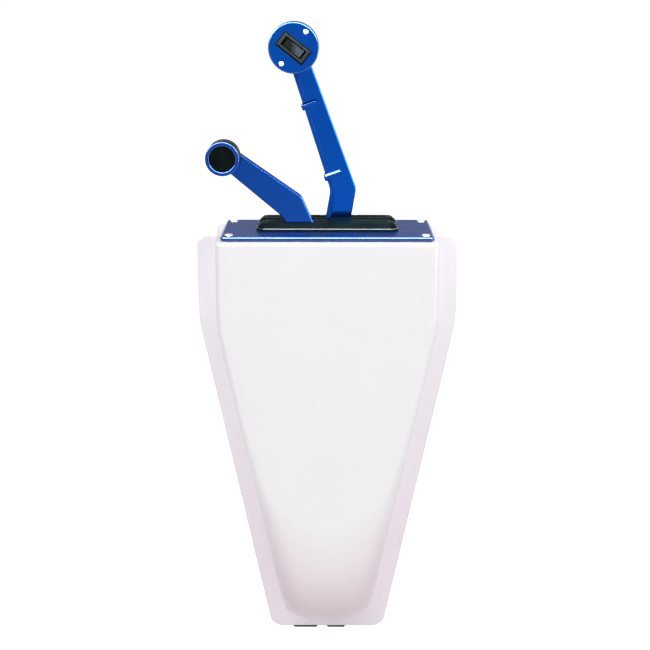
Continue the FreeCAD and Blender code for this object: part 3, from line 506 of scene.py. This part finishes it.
# Helpers for geometry node trees
def startTree(name, sizes):
    tree = bpy.data.node_groups.new(name, "GeometryNodeTree")
    sockets = tree.interface
    sockets.new_socket("Geometry", in_out="INPUT", socket_type="NodeSocketGeometry")
    for label, (kind, value) in sizes.items():
        socket = sockets.new_socket(label, in_out="INPUT", socket_type="NodeSocket" + kind)
        if value is not None:
            socket.default_value = value
    sockets.new_socket("Geometry", in_out="OUTPUT", socket_type="NodeSocketGeometry")
    given = tree.nodes.new("NodeGroupInput").outputs
    return tree, given, tree.nodes.new("NodeGroupOutput").inputs


def asVector(tree, x=0.0, y=0.0, z=0.0):
    return put(tree, "ShaderNodeCombineXYZ", {"X": x, "Y": y, "Z": z}).outputs[0]


# Ends a tree: instances made real, finish set
def endTree(tree, given, result, shape):
    real = put(tree, "GeometryNodeRealizeInstances", {"Geometry": shape}).outputs[0]
    done = put(tree, "GeometryNodeSetMaterial", {
        "Geometry": real, "Material": given["Finish"],
    }).outputs[0]
    tree.links.new(done, result[0])
    return tree


# Runs a tree on a mesh of points or lines, its inputs set by identifier, and bakes the result
def grow(name, tree, mesh, values):
    worker = workObject(name + "Work", mesh)
    modifier = worker.modifiers.new(name, "NODES")
    modifier.node_group = tree
    for socket in tree.interface.items_tree:
        if socket.in_out == "INPUT" and socket.name in values:
            modifier[socket.identifier] = values[socket.name]
    return settle(worker)


# Screw heads: a low dome with a cross recess on every point, turned by chance about its own axis
def makeScrewTree():
    tree, given, result = startTree("screwHeads", {
        "Head Radius": ("Float", 0.0044),
        "Head Height": ("Float", 0.0012),
        "Recess Length": ("Float", 0.0046),
        "Recess Width": ("Float", 0.0009),
        "Recess Depth": ("Float", 0.0008),
        "Axis Turn": ("Vector", None),
        "Seed": ("Int", 3),
        "Finish": ("Material", None),
    })
    ball = put(tree, "GeometryNodeMeshUVSphere", {
        "Segments": 48, "Rings": 24, "Radius": 1.0,
    }).outputs[0]
    radius = given["Head Radius"]
    head = put(tree, "GeometryNodeTransform", {
        "Geometry": ball, "Scale": asVector(tree, radius, radius, given["Head Height"]),
    }).outputs[0]
    depth = calculate(tree, "MULTIPLY", given["Recess Depth"], 2.0)
    top = asVector(tree, z=given["Head Height"])
    for size in (
        asVector(tree, given["Recess Length"], given["Recess Width"], depth),
        asVector(tree, given["Recess Width"], given["Recess Length"], depth),
    ):
        block = put(tree, "GeometryNodeMeshCube", {"Size": size}).outputs[0]
        cutter = put(tree, "GeometryNodeTransform", {
            "Geometry": block, "Translation": top,
        }).outputs[0]
        head = put(tree, "GeometryNodeMeshBoolean", {
            "Mesh 1": head, "Mesh 2": cutter,
        }, operation="DIFFERENCE").outputs[0]
    turn = put(tree, "FunctionNodeEulerToRotation", {"Euler": given["Axis Turn"]}).outputs[0]
    placed = put(tree, "GeometryNodeInstanceOnPoints", {
        "Points": given["Geometry"], "Instance": head, "Rotation": turn,
    }).outputs[0]
    chance = put(tree, "FunctionNodeRandomValue", {
        3: math.pi / 2, "Seed": given["Seed"],
    }, data_type="FLOAT").outputs[1]
    spin = put(tree, "FunctionNodeEulerToRotation", {"Euler": asVector(tree, z=chance)})
    spun = put(tree, "GeometryNodeRotateInstances", {
        "Instances": placed, "Rotation": spin.outputs[0], "Local Space": True,
    }).outputs[0]
    return endTree(tree, given, result, spun)


# A bar swept along lines: a four-sided section with round corners, narrower towards its far end
def makeSweepTree():
    tree, given, result = startTree("sweptBar", {
        "Bend Radius": ("Float", 0.02),
        "Foot Width": ("Float", 0.005),
        "Face Width": ("Float", 0.005),
        "Face Shift": ("Float", 0.0),
        "Thickness": ("Float", 0.005),
        "Edge Radius": ("Float", 0.0004),
        "Section Turn": ("Float", 0.0),
        "Tip Share": ("Float", 1.0),
        "Tip Scale": ("Float", 1.0),
        "Step Length": ("Float", 0.0004),
        "Finish": ("Material", None),
    })
    line = put(tree, "GeometryNodeMeshToCurve", {"Mesh": given["Geometry"]}).outputs[0]
    bent = put(tree, "GeometryNodeFilletCurve", {
        "Curve": line, "Count": 16, "Radius": given["Bend Radius"], "Limit Radius": True,
    }, mode="POLY").outputs[0]
    fine = put(tree, "GeometryNodeResampleCurve", {
        "Curve": bent, "Length": given["Step Length"],
    }, mode="LENGTH").outputs[0]
    share = put(tree, "GeometryNodeSplineParameter", {}).outputs["Factor"]
    scale = between(tree, share, 1.0, given["Tip Scale"], given["Tip Share"], 1.001)
    route = put(tree, "GeometryNodeSetCurveRadius", {"Curve": fine, "Radius": scale}).outputs[0]
    section = put(tree, "GeometryNodeCurvePrimitiveQuadrilateral", {
        "Bottom Width": given["Foot Width"], "Top Width": given["Face Width"],
        "Offset": given["Face Shift"], "Height": given["Thickness"],
    }, mode="TRAPEZOID").outputs[0]
    rounded = put(tree, "GeometryNodeFilletCurve", {
        "Curve": section, "Count": 8, "Radius": given["Edge Radius"], "Limit Radius": True,
    }, mode="POLY").outputs[0]
    turned = put(tree, "GeometryNodeTransform", {
        "Geometry": rounded, "Rotation": asVector(tree, z=given["Section Turn"]),
    }).outputs[0]
    bar = put(tree, "GeometryNodeCurveToMesh", {
        "Curve": route, "Profile Curve": turned, "Fill Caps": True,
    }).outputs[0]
    return endTree(tree, given, result, bar)


def pointMesh(name, points, lines=()):
    mesh = bpy.data.meshes.new(name)
    mesh.from_pydata(points, lines, [])
    return mesh


# Pod, one smooth moulding; sizes of the front face, the same as the frame's
podShape = {
    "halfWidth": 0.1125,
    "draft": 0.0064,
    "depth": 0.105,
    "topZ": 0.473,
    "bendZ": 0.384,
    "bendRadius": 0.136,
    "taperDeg": 11.7,
    "footZ": 0.027,
    "footCorner": 0.020,
    "chinRadius": 0.088,
    "rimRadius": 0.004,
    "rimInset": 0.0165,
    "edgeAtTop": 0.0065,
    "edgeAtChin": 0.026,
    "edgeGrowsFrom": 0.30,
    "edgeGrowsTo": 0.10,
    "edgeLimit": 0.8,        # of the depth there
    "footEdge": 0.75,
    "footStart": 0.02,       # of a row, so that the first one stands off the wall plane
    "innerEdge": 0.002,
    "crown": 0.0012,
    "wall": 0.0032,
    "chinRows": 26,
    "frontRows": 60,
    "rimRows": 6,
    "footRows": 6,
    "sideColumns": 10,
    "cornerColumns": 9,
    "frontColumns": 16,
}


# Half width of the pod's front at a height: upright, a bend, the taper and a round foot corner
def podHalfWidth(shape, z):
    taper = math.radians(shape["taperDeg"])
    half, bend = shape["halfWidth"], shape["bendRadius"]
    reach = bend * math.tan(taper / 2)
    upperZ = shape["bendZ"] + reach
    lowerZ = shape["bendZ"] - reach * math.cos(taper)
    if z >= upperZ:
        width = half
    elif z >= lowerZ:
        width = half - bend + math.sqrt(bend ** 2 - (upperZ - z) ** 2)
    else:
        width = half - (shape["bendZ"] - z) * math.tan(taper)
    corner = shape["footCorner"]
    above = z - shape["footZ"]
    if above < corner:
        low = corner - above
        width -= corner - math.sqrt(max(corner ** 2 - low ** 2, 0.0))
    return width


def smoothStep(value, start, end):
    share = min(max((value - start) / (end - start), 0), 1)
    return share * share * (3 - 2 * share)


# One row of the pod's skin: from the wall on the left, round the front, to the wall on the right
def podRow(shape, z, frontY, inset, edge):
    half = podHalfWidth(shape, z) - inset
    depthShare = 1 / shape["depth"]
    edge = max(min(edge, -frontY * shape["edgeLimit"]), 0.0)
    side = []
    for i in range(shape["sideColumns"]):
        y = (frontY + edge) * i / shape["sideColumns"]
        side.append((half + shape["draft"] * (1 + y * depthShare), y))
    draftAtEdge = shape["draft"] * (1 + (frontY + edge) * depthShare)
    for i in range(shape["cornerColumns"] + 1):
        turn = math.pi / 2 * i / shape["cornerColumns"]
        x = half + draftAtEdge - edge + edge * math.cos(turn)
        side.append((x, frontY + edge - edge * math.sin(turn)))
    lastX = side[-1][0]
    row = [(-x, y) for x, y in side]
    for i in range(1, shape["frontColumns"]):
        row.append((-lastX + 2 * lastX * i / shape["frontColumns"], frontY))
    row += [(x, y) for x, y in reversed(side)]
    crowned = []
    for x, y in row:
        lift = shape["crown"] * (abs(x) / half) ** 2 * min(1.0, y / frontY)
        crowned.append((x, min(y + lift, 0.0), z))
    return crowned


def podEdge(shape, z):
    grown = smoothStep(z, shape["edgeGrowsFrom"], shape["edgeGrowsTo"])
    return shape["edgeAtTop"] + (shape["edgeAtChin"] - shape["edgeAtTop"]) * grown


def podRows(shape):
    rows = []
    centreY = shape["chinRadius"] - shape["depth"]
    chinTopZ = shape["footZ"] + shape["chinRadius"]
    for i in range(shape["footRows"]):
        frontY = centreY * (i + shape["footStart"]) / shape["footRows"]
        rows.append(podRow(shape, shape["footZ"], frontY, 0, -frontY * shape["footEdge"]))
    for i in range(shape["chinRows"] + 1):
        turn = math.pi / 2 * (1 - i / shape["chinRows"])
        z = chinTopZ - shape["chinRadius"] * math.sin(turn)
        frontY = centreY - shape["chinRadius"] * math.cos(turn)
        rows.append(podRow(shape, z, frontY, 0, podEdge(shape, z)))
    rimZ = shape["topZ"] - shape["rimRadius"]
    for i in range(1, shape["frontRows"] + 1):
        z = chinTopZ + (rimZ - chinTopZ) * i / shape["frontRows"]
        rows.append(podRow(shape, z, -shape["depth"], 0, podEdge(shape, z)))
    for i in range(1, shape["rimRows"] + 1):
        turn = math.pi / 2 * i / shape["rimRows"]
        inset = shape["rimRadius"] * (1 - math.cos(turn))
        z = rimZ + shape["rimRadius"] * math.sin(turn)
        rows.append(podRow(shape, z, inset - shape["depth"], inset, shape["edgeAtTop"]))
    topY = shape["rimInset"] - shape["depth"]
    rows.append(podRow(shape, shape["topZ"], topY, shape["rimInset"], shape["innerEdge"]))
    return rows


def gridFaces(rowCount, columnCount):
    faces = []
    for i in range(rowCount - 1):
        for j in range(columnCount - 1):
            a = i * columnCount + j
            faces.append((a, a + 1, a + columnCount + 1, a + columnCount))
    return faces


def makePod(shape):
    rows = podRows(shape)
    points = [point for row in rows for point in row]
    mesh = meshFrom("podSkin", points, gridFaces(len(rows), len(rows[0])))
    worker = workObject("podSkinWork", mesh)
    wall = worker.modifiers.new("wall", "SOLIDIFY")
    wall.thickness = shape["wall"]
    wall.offset = -1
    wall.use_even_offset = True
    skin = settle(worker)
    # the inner wall's foot would pass the wall plane by a hair
    for vertex in skin.vertices:
        vertex.co.y = min(vertex.co.y, 0.0)
    return skin


flangeShape = {
    "halfWidth": 0.1405,
    "topZ": 0.462,
    "bendZ": 0.368,
    "bendRadius": 0.16,
    "footHalfWidth": 0.064,
    "topCorner": 0.012,
    "footCorner": 0.015,
    "thickness": 0.005,
    "edgeRadius": 0.0018,
    "arcSteps": 14,
    "innerSteps": 70,
    "innerTopGap": 0.004,
    "innerSpacing": 1.6,     # above 1, the steps are closer where the foot's corner turns
}


# Points of a closed outline of (x, z, radius) corners, with round corners as arcs
def roundedOutline(corners, steps):
    points = []
    for i, (x, z, radius) in enumerate(corners):
        here = Vector((x, z))
        before = Vector(corners[i - 1][:2]) - here
        after = Vector(corners[(i + 1) % len(corners)][:2]) - here
        if radius <= 0:
            points.append(here)
            continue
        before.normalize()
        after.normalize()
        half = before.angle(after) / 2
        middle = (before + after).normalized()
        centre = here + middle * (radius / math.sin(half))
        reach = radius / math.tan(half)
        start = here + before * reach - centre
        turn = start.angle_signed(here + after * reach - centre)
        for k in range(steps + 1):
            spin = Matrix.Rotation(-turn * k / steps, 2)
            points.append(centre + spin @ start)
    return points


# A flat plate with holes and round edges, drawn in X and Z, from backY forwards; a filled curve
def curvePlate(name, outlines, thickness, edgeRadius, backY):
    curve = bpy.data.curves.new(name, "CURVE")
    curve.dimensions = "2D"
    curve.fill_mode = "BOTH"
    curve.extrude = thickness / 2 - edgeRadius
    curve.bevel_depth = edgeRadius
    curve.bevel_resolution = 4
    curve.offset = -edgeRadius
    for outline in outlines:
        spline = curve.splines.new("POLY")
        spline.points.add(len(outline) - 1)
        for point, place in zip(spline.points, outline):
            point.co = (place[0], place[1], 0, 1)
        spline.use_cyclic_u = True
    worker = bpy.data.objects.new(name, curve)
    bpy.context.scene.collection.objects.link(worker)
    mesh = settle(worker)
    upright = Matrix.Rotation(math.pi / 2, 4, "X")
    mesh.transform(Matrix.Translation((0, backY - thickness / 2, 0)) @ upright)
    return mesh


def makeFlange(flange, pod):
    half, foot = flange["halfWidth"], flange["footHalfWidth"]
    outer = roundedOutline([
        (-foot, 0, flange["footCorner"]),
        (foot, 0, flange["footCorner"]),
        (half, flange["bendZ"], flange["bendRadius"]),
        (half, flange["topZ"], flange["topCorner"]),
        (-half, flange["topZ"], flange["topCorner"]),
        (-half, flange["bendZ"], flange["bendRadius"]),
    ], flange["arcSteps"])
    inset = pod["wall"] / 2
    lowZ = pod["footZ"] + inset
    side = []
    for i in range(flange["innerSteps"] + 1):
        share = (i / flange["innerSteps"]) ** flange["innerSpacing"]
        z = lowZ + (flange["topZ"] - flange["innerTopGap"] - lowZ) * share
        side.append(Vector((podHalfWidth(pod, z) + pod["draft"] - inset, z)))
    inner = side + [Vector((-point[0], point[1])) for point in reversed(side)]
    return curvePlate("flange", [outer, inner], flange["thickness"], flange["edgeRadius"], 0)


def joinMeshes(name, meshes):
    shape = bmesh.new()
    for mesh in meshes:
        shape.from_mesh(mesh)
    joined = bpy.data.meshes.new(name)
    shape.to_mesh(joined)
    shape.free()
    return joined


podMesh = joinMeshes("podMoulding", [makePod(podShape), makeFlange(flangeShape, podShape)])
addPiece("podMoulding", podMesh, "white_plastic", "control_body", ["pod_shell"], sharpDeg=30)
print("pod moulded")

# Rubber boots with closed lips
bootShape = {
    "length": 0.1455,
    "width": 0.029,
    "corner": 0.007,
    "cornerShrink": 0.45,    # by how much the corners shrink on the way up to the crown
    "topInset": (0.006, 0.0045),
    "rimHeight": 0.003,
    "height": 0.008,
    "rimRadius": 0.0018,
    "rimStart": 0.8,         # of the rim's radius, below its height
    "rimSquash": (0.5, 0.6),
    "edgeRadius": 0.0006,
    "edgeShift": 0.3,        # of the edge's radius, as the spread is
    "edgeSpread": 1.5,
    "arcSteps": 4,
    "slopeRings": (0.3, 0.65),
    "slitHalf": 0.061,
    "slitShare": 0.985,      # of a point's X, where it lands on the slit
    "slitGap": 0.0003,
    "slitDepth": 0.0016,
    "lipSwell": 0.0007,
    "lipReach": 0.0035,
    # share of the way to the slit, and height in swells, or below 0 in slit depths
    "lipRings": (
        (0.3, 0.0), (0.6, 0.1), (0.8, 0.45), (0.92, 0.95), (0.98, 0.8), (1.0, 0.1), (1.0, -1.0)
    ),
    "rubbedFrom": 3,         # the lip ring from which the shank keeps the rubber shiny
    "rubbedSpread": 0.75,
    "sidePoints": (10, 8, 220, 8, 10, 8, 220, 8),
}


# One ring of the boot's octagon, drawn in by inset
def octagonRing(shape, inset):
    a, b = shape["length"] / 2 - inset[0], shape["width"] / 2 - inset[1]
    corner = shape["corner"] * (1 - shape["cornerShrink"] * inset[1] / shape["topInset"][1])
    corners = [
        (a, -b + corner), (a, b - corner), (a - corner, b), (-a + corner, b),
        (-a, b - corner), (-a, -b + corner), (-a + corner, -b), (a - corner, -b),
    ]
    ring = []
    for i, count in enumerate(shape["sidePoints"]):
        (firstX, firstY), (nextX, nextY) = corners[i], corners[(i + 1) % len(corners)]
        for k in range(count):
            part = k / count
            ring.append((firstX + (nextX - firstX) * part, firstY + (nextY - firstY) * part))
    return ring


def slitPoint(shape, x, y):
    reach = shape["slitHalf"]
    along = max(-reach, min(reach, x * shape["slitShare"]))
    return along, math.copysign(shape["slitGap"], y)


# How far the rubber stands up: the lips beside the shank, and the folds that run out from it
def lipLift(shape, x, y, shank):
    away = (x - shank["x"]) / shank["spread"]
    lift = shank["lift"] * math.exp(-away * away - (y / shape["lipReach"]) ** 2)
    for place, height, width, slant in shank["folds"]:
        off = (x - place - slant * abs(y)) / width
        lift += height * math.exp(-off * off)
    return lift


# The section from the deck over the rim and up the slope to the crown, as (inset, height)
def bootSection(shape):
    crownInset, rim, top = shape["topInset"][1], shape["rimHeight"], shape["height"]
    slope = math.atan2(top - rim, crownInset)
    rimRadius, edgeRadius, steps = shape["rimRadius"], shape["edgeRadius"], shape["arcSteps"]
    inwards, upwards = shape["rimSquash"]
    section = [(0, 0), (0, rim - rimRadius * shape["rimStart"])]
    for i in range(steps + 1):
        turn = (math.pi / 2 - slope * 0.5) * i / steps
        section.append((
            rimRadius * (1 - math.cos(turn)) * inwards,
            rim - rimRadius * upwards + rimRadius * math.sin(turn) * upwards,
        ))
    section += [(crownInset * share, rim + (top - rim) * share) for share in shape["slopeRings"]]
    for i in range(steps + 1):
        turn = slope * (1 - i / steps)
        section.append((
            crownInset + edgeRadius * (shape["edgeShift"] - math.sin(turn) * shape["edgeSpread"]),
            top - edgeRadius * (1 - math.cos(turn)) * shape["edgeSpread"],
        ))
    return section


def makeBoot(shape, centreY, baseZ, shank):
    across = shape["topInset"]
    rim, top = shape["rimHeight"], shape["height"]
    section = bootSection(shape)
    rings = []
    for inset, height in section:
        ring = octagonRing(shape, (across[0] / across[1] * inset, inset))
        rings.append([(x, y, height) for x, y in ring])
    crown = rings[-1]
    for share, height in shape["lipRings"]:
        ring = []
        for x, y, z in crown:
            slitX, slitY = slitPoint(shape, x, y)
            rise = height * (shape["lipSwell"] if height > 0 else shape["slitDepth"])
            ring.append((x + (slitX - x) * share, y + (slitY - y) * share, z + rise))
        rings.append(ring)
    points = []
    for ring in rings:
        for x, y, z in ring:
            grown = smoothStep(z, rim, rim + (top - rim) * 0.5)
            points.append((x, centreY + y, baseZ + z + lipLift(shape, x, y, shank) * grown))
    count = len(crown)
    faces = []
    for i in range(len(rings) - 1):
        for k in range(count):
            a, b = i * count + k, i * count + (k + 1) % count
            faces.append((a, b, b + count, a + count))
    last = (len(rings) - 1) * count
    faces.append([last + k for k in range(count)])
    faces.append([k for k in reversed(range(count))])
    mesh = meshFrom("boot", points, faces)
    # the rim's edge, from the section's third point, and the lips that the shank rubs are shiny
    rimRings = range(2, 2 + shape["arcSteps"])
    lipStart = len(section) + shape["rubbedFrom"]
    rubbed = shank["spread"] * shape["rubbedSpread"]
    for polygon in mesh.polygons:
        if len(polygon.vertices) != 4:
            continue
        ring = min(polygon.vertices) // count
        byShank = abs(polygon.center.x - shank["x"]) < rubbed
        if ring in rimRings or (byShank and ring >= lipStart):
            polygon.material_index = 1
    return mesh


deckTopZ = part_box("deck_plate")[1].z
frontShank = {
    "x": -0.029, "spread": 0.020, "lift": 0.0007,
    "folds": [(-0.0125, 0.0006, 0.0011, 0.12), (-0.009, -0.0004, 0.0012, 0.12)],
}
rearShank = {
    "x": 0.0115, "spread": 0.026, "lift": 0.0016,
    "folds": [
        (0.0065, 0.0007, 0.0012, 0.3), (0.0105, -0.0004, 0.001, 0.3),
        (0.0135, 0.0005, 0.0011, -0.3),
    ],
}
for pieceName, nodeName, shank in (
    ("frontBootRubber", "front_boot", frontShank),
    ("rearBootRubber", "rear_boot", rearShank),
):
    low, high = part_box(nodeName)
    bootMesh = makeBoot(bootShape, (low.y + high.y) / 2, deckTopZ, shank)
    addPiece(pieceName, bootMesh, "black_rubber", "control_body",
             [nodeName, nodeName + "_slit"], sharpDeg=28, edgeFinish=wornRubber)
print("boots made")

# Pieces that keep the shape of their node, with rounded edges
roundedPieces = {
    "deck_plate": {
        "pieceName": "deckPlate", "width": 0.0009, "segments": 5, "rim": (0.09, 0.0021),
        "finish": deckBlue, "edgeFinish": deckEdge,
    },
    "throttle_arm": {
        "pieceName": "throttleArm", "width": 0.0011, "segments": 4, "edgeFinish": blueEdge,
    },
    # the short arm and the knob ring take the darker copy of the blue, which is painted shade
    "shift_arm": {
        "pieceName": "shiftArm", "width": 0.0013, "segments": 4,
        "finish": shortArmBlue, "edgeFinish": blueEdge,
    },
    "head_housing": {
        "pieceName": "headHousing", "width": 0.0004, "segments": 3, "rim": (0.024, 0.0012),
    },
    "head_cover": {
        "pieceName": "headCover", "width": 0.0002, "segments": 4, "rim": (0.024, 0.0011),
        "edgeFinish": blueEdge,
    },
    "switch_bezel": {
        "pieceName": "switchBezel", "width": 0.00035, "segments": 3, "finish": framePlastic,
    },
    "trim_rocker": {"pieceName": "rockerPaddle", "width": 0.00035, "segments": 3},
    "knob_body": {"pieceName": "knobGrip", "width": 0.0012, "segments": 4},
    "knob_ring": {
        "pieceName": "knobRing", "width": 0.0007, "segments": 4,
        "finish": shortArmBlue, "edgeFinish": blueEdge,
    },
    "knob_insert": {"pieceName": "knobInsert", "width": 0.0005, "segments": 3},
}
for nodeName, values in roundedPieces.items():
    softened(nodeName, **values)
print("edges softened")

# Screws with a cross recess, on the points that the frame's screw heads stand on
deckScrew = {
    "Head Radius": 0.0044,
    "Head Height": 0.0014,
    "Recess Length": 0.0048,
    "Recess Width": 0.0009,
    "Recess Depth": 0.0008,
    "Axis Turn": (0.0, 0.0, 0.0),
    "Seed": 5,
}
coverScrew = {
    "Head Radius": 0.0026,
    "Head Height": 0.0013,
    "Recess Length": 0.0028,
    "Recess Width": 0.0006,
    "Recess Depth": 0.0006,
    "Axis Turn": (math.pi / 2, 0.0, 0.0),
    "Seed": 2,
}


def makeScrews(nodeName, pieceName, places, values):
    slot, body = slotOfNode[nodeName], bodyOfNode[nodeName]
    given = {**values, "Finish": finishes[slot]}
    mesh = grow(pieceName, screwTree, pointMesh(pieceName, places), given)
    addPiece(pieceName, mesh, slot, body, [nodeName], sharpDeg=40)


screwTree = makeScrewTree()
low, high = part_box("deck_screws")
radius = deckScrew["Head Radius"]
makeScrews("deck_screws", "deckScrews", [
    (x, y, deckTopZ)
    for x in (low.x + radius, high.x - radius) for y in (low.y + radius, high.y - radius)
], deckScrew)
low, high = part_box("head_cover_screws")
radius = coverScrew["Head Radius"]
makeScrews("head_cover_screws", "coverScrews", [
    (low.x + radius, high.y, low.z + radius), (high.x - radius, high.y, high.z - radius)
], coverScrew)
print("screws placed")

# Lead sleeve and its two clips, swept along lines of the throttle lever
leverLines = {
    "pivotZ": 0.421,
    "leanDeg": 10.0,
    "bendDeg": 29.0,
    "shankLength": 0.0955,
    "shankWidth": 0.026,
    "armLength": 0.155,
    "widthLow": 0.026,
    "widthHigh": 0.019,
    "faceY": -0.0335,
    "backY": -0.0215,
}
sleeve = {
    "diameter": 0.005,
    "proud": 0.001,
    "topInset": 0.017,
    "footHeight": 0.0385,
    "bendRadius": 0.0265,
    "edgeRadius": 0.0014,
}
clip = {
    "places": (0.0171, 0.0936),
    "height": 0.0080,
    "faceHeight": 0.0052,
    "thickness": 0.0022,
    "backLeg": 0.008,
    "wall": 0.0024,
    "seat": 0.3,             # share of the sleeve's proud height under the clip's front
    "tip": 0.0032,
    "tipLift": 0.25,         # in thicknesses, from the lever's face to the tip's middle
    "tipShare": 0.85,
    "tipScale": 0.55,
    "bendRadius": 0.0016,
    "edgeRadius": 0.0004,
    "shineOut": 0.3,
    "shineUp": 0.25,
}


# Turns a point of the lever as drawn upright, its pivot at the origin, into place
def leanOver(lever, u, w, y):
    lean = math.radians(lever["leanDeg"])
    x = u * math.cos(lean) + w * math.sin(lean)
    return x, y, lever["pivotZ"] - u * math.sin(lean) + w * math.cos(lean)


def onArm(lever, place, offset):
    bend = math.radians(lever["bendDeg"])
    u = -math.sin(bend) * place + math.cos(bend) * offset
    w = lever["shankLength"] + math.cos(bend) * place + math.sin(bend) * offset
    return u, w


def armHalf(lever, place):
    grown = (lever["widthHigh"] - lever["widthLow"]) * place / lever["armLength"]
    return (lever["widthLow"] + grown) / 2


def sleeveLine(lever, values):
    half = values["diameter"] / 2
    y = lever["faceY"] + half - values["proud"]
    start = onArm(lever, 0, half - armHalf(lever, 0))
    end = onArm(lever, lever["armLength"], half - armHalf(lever, lever["armLength"]))
    cornerU = half - lever["shankWidth"] / 2
    share = (cornerU - start[0]) / (end[0] - start[0])
    corner = (cornerU, start[1] + share * (end[1] - start[1]))
    share = 1 - values["topInset"] / lever["armLength"]
    top = [corner[i] + (end[i] - corner[i]) * share for i in (0, 1)]
    return [leanOver(lever, u, w, y) for u, w in (top, corner, (cornerU, values["footHeight"]))]


# A clip's line: from its back leg round the sleeve's side and over the face to the tip
def clipLine(lever, values, tube, place):
    half = armHalf(lever, place)
    side = -half - values["wall"] / 2
    front = lever["faceY"] - tube["proud"] * values["seat"] - values["thickness"] / 2
    back = lever["backY"] + values["thickness"] / 2
    route = [
        (values["backLeg"] - half, back),
        (side, back),
        (side, front),
        (tube["diameter"] - half, front),
        (values["tip"], lever["faceY"] - values["thickness"] * values["tipLift"]),
    ]
    return [leanOver(lever, *onArm(lever, place, offset), y) for offset, y in route]


sweepTree = makeSweepTree()
line = sleeveLine(leverLines, sleeve)
sleeveMesh = grow("leadSleeve", sweepTree, pointMesh("leadSleeve", line, [(0, 1), (1, 2)]), {
    "Bend Radius": sleeve["bendRadius"],
    "Foot Width": sleeve["diameter"],
    "Face Width": sleeve["diameter"],
    "Thickness": sleeve["diameter"],
    "Edge Radius": sleeve["edgeRadius"],
    "Finish": finishes["sleeve_rubber"],
})
addPiece("leadSleeve", sleeveMesh, "sleeve_rubber", "throttle_lever", ["lead_sleeve"],
         sharpDeg=50)
clipPoints, clipEdges = [], []
for place in clip["places"]:
    line = clipLine(leverLines, clip, sleeve, place)
    clipEdges += [(len(clipPoints) + i, len(clipPoints) + i + 1) for i in range(len(line) - 1)]
    clipPoints += line
clipMesh = grow("sleeveClips", sweepTree, pointMesh("sleeveClips", clipPoints, clipEdges), {
    "Bend Radius": clip["bendRadius"],
    "Foot Width": clip["faceHeight"],
    "Face Width": clip["height"],
    "Face Shift": (clip["faceHeight"] - clip["height"]) / 2,
    "Thickness": clip["thickness"],
    "Edge Radius": clip["edgeRadius"],
    "Section Turn": math.pi / 2,
    "Tip Share": clip["tipShare"],
    "Tip Scale": clip["tipScale"],
    "Finish": finishes["clip_plastic"],
})
# the slopes that look up and out are polished
for polygon in clipMesh.polygons:
    if polygon.normal.y < -clip["shineOut"] and polygon.normal.z > clip["shineUp"]:
        polygon.material_index = 1
addPiece("sleeveClips", clipMesh, "clip_plastic", "throttle_lever", ["sleeve_clips"],
         sharpDeg=40, edgeFinish=blueEdge)
print("sleeve and clips swept")

# Floor, light and background
studio = {
    "floorZ": cadLow.z - 0.0003,    # just under the lowest edge
    "floorSize": 9.0,
    "floorColour": (0.5, 0.5, 0.5, 1),
    "floorRoughness": 0.9,
    "floorGlow": 0.85,
    "skyFill": 0.5,
}


# 1 where the camera, a reflection or a view through glass looks, and 0 for plain light
def whiteRays(tree):
    path = tree.nodes.new("ShaderNodeLightPath").outputs
    either = calculate(tree, "MAXIMUM", path["Is Camera Ray"], path["Is Glossy Ray"])
    return calculate(tree, "MAXIMUM", either, path["Is Transmission Ray"])


def makeStudio(values):
    world = bpy.data.worlds.new("studio")
    bpy.context.scene.world = world
    world.use_nodes = True
    tree = world.node_tree
    feed(tree, tree.nodes["Background"], {
        "Color": (1, 1, 1, 1),
        "Strength": between(tree, whiteRays(tree), values["skyFill"], 1.0, 0, 1),
    })

    half = values["floorSize"] / 2
    corners = [(-half, -half), (half, -half), (half, half), (-half, half)]
    floorMesh = meshFrom("floor", [(x, y, values["floorZ"]) for x, y in corners], [(0, 1, 2, 3)])
    floor = workObject("floor", floorMesh)
    material, tree, shader = newMaterial("paleFloor")
    feed(tree, shader, {
        "Base Color": values["floorColour"],
        "Roughness": values["floorRoughness"],
        "Emission Color": (1, 1, 1, 1),
        "Emission Strength": calculate(tree, "MULTIPLY", whiteRays(tree), values["floorGlow"]),
    })
    floorMesh.materials.append(material)


# Soft lamps; a matt one isn't mirrored by shiny faces, and a shiny one is seen by them alone
lamps = {
    "keyLight": {
        "place": (-0.9, -2.0, 1.7), "target": (0, 0, 0.35), "size": (1.2, 1.2),
        "watts": 13, "kind": "matt",
    },
    "fillLight": {
        "place": (1.3, -1.8, 1.0), "target": (0, 0, 0.35), "size": (1.2, 1.4),
        "watts": 9, "kind": "matt",
    },
    "frontLight": {
        "place": (0, -2.6, 0.9), "target": (0, 0, 0.35), "size": (1.6, 1.6),
        "watts": 15.5, "kind": "matt",
    },
    "topLight": {
        "place": (0, 0.1, 2.0), "target": (0, 0, 0.4), "size": (1.4, 0.8),
        "watts": 13, "kind": "matt",
    },
    "glintLight": {
        "place": (0, -0.75, 1.35), "target": (0, -0.06, 0.55), "size": (4.5, 1.0),
        "watts": 320, "kind": "shiny",
    },
    "sideGlint": {
        "place": (1.3, -0.35, 0.7), "target": (0, -0.06, 0.55), "size": (1.0, 1.2),
        "watts": 28, "kind": "shiny",
    },
}


def addLamp(name, values):
    light = bpy.data.lights.new(name, "AREA")
    light.shape = "RECTANGLE"
    light.size, light.size_y = values["size"]
    light.energy = values["watts"]
    lamp = bpy.data.objects.new(name, light)
    bpy.context.scene.collection.objects.link(lamp)
    lamp.location = values["place"]
    aim = Vector(values["target"]) - Vector(values["place"])
    lamp.rotation_euler = aim.to_track_quat("-Z", "Y").to_euler()
    lamp.visible_diffuse = values["kind"] == "matt"
    lamp.visible_glossy = values["kind"] == "shiny"


makeStudio(studio)
for name, values in lamps.items():
    addLamp(name, values)
print("studio set")
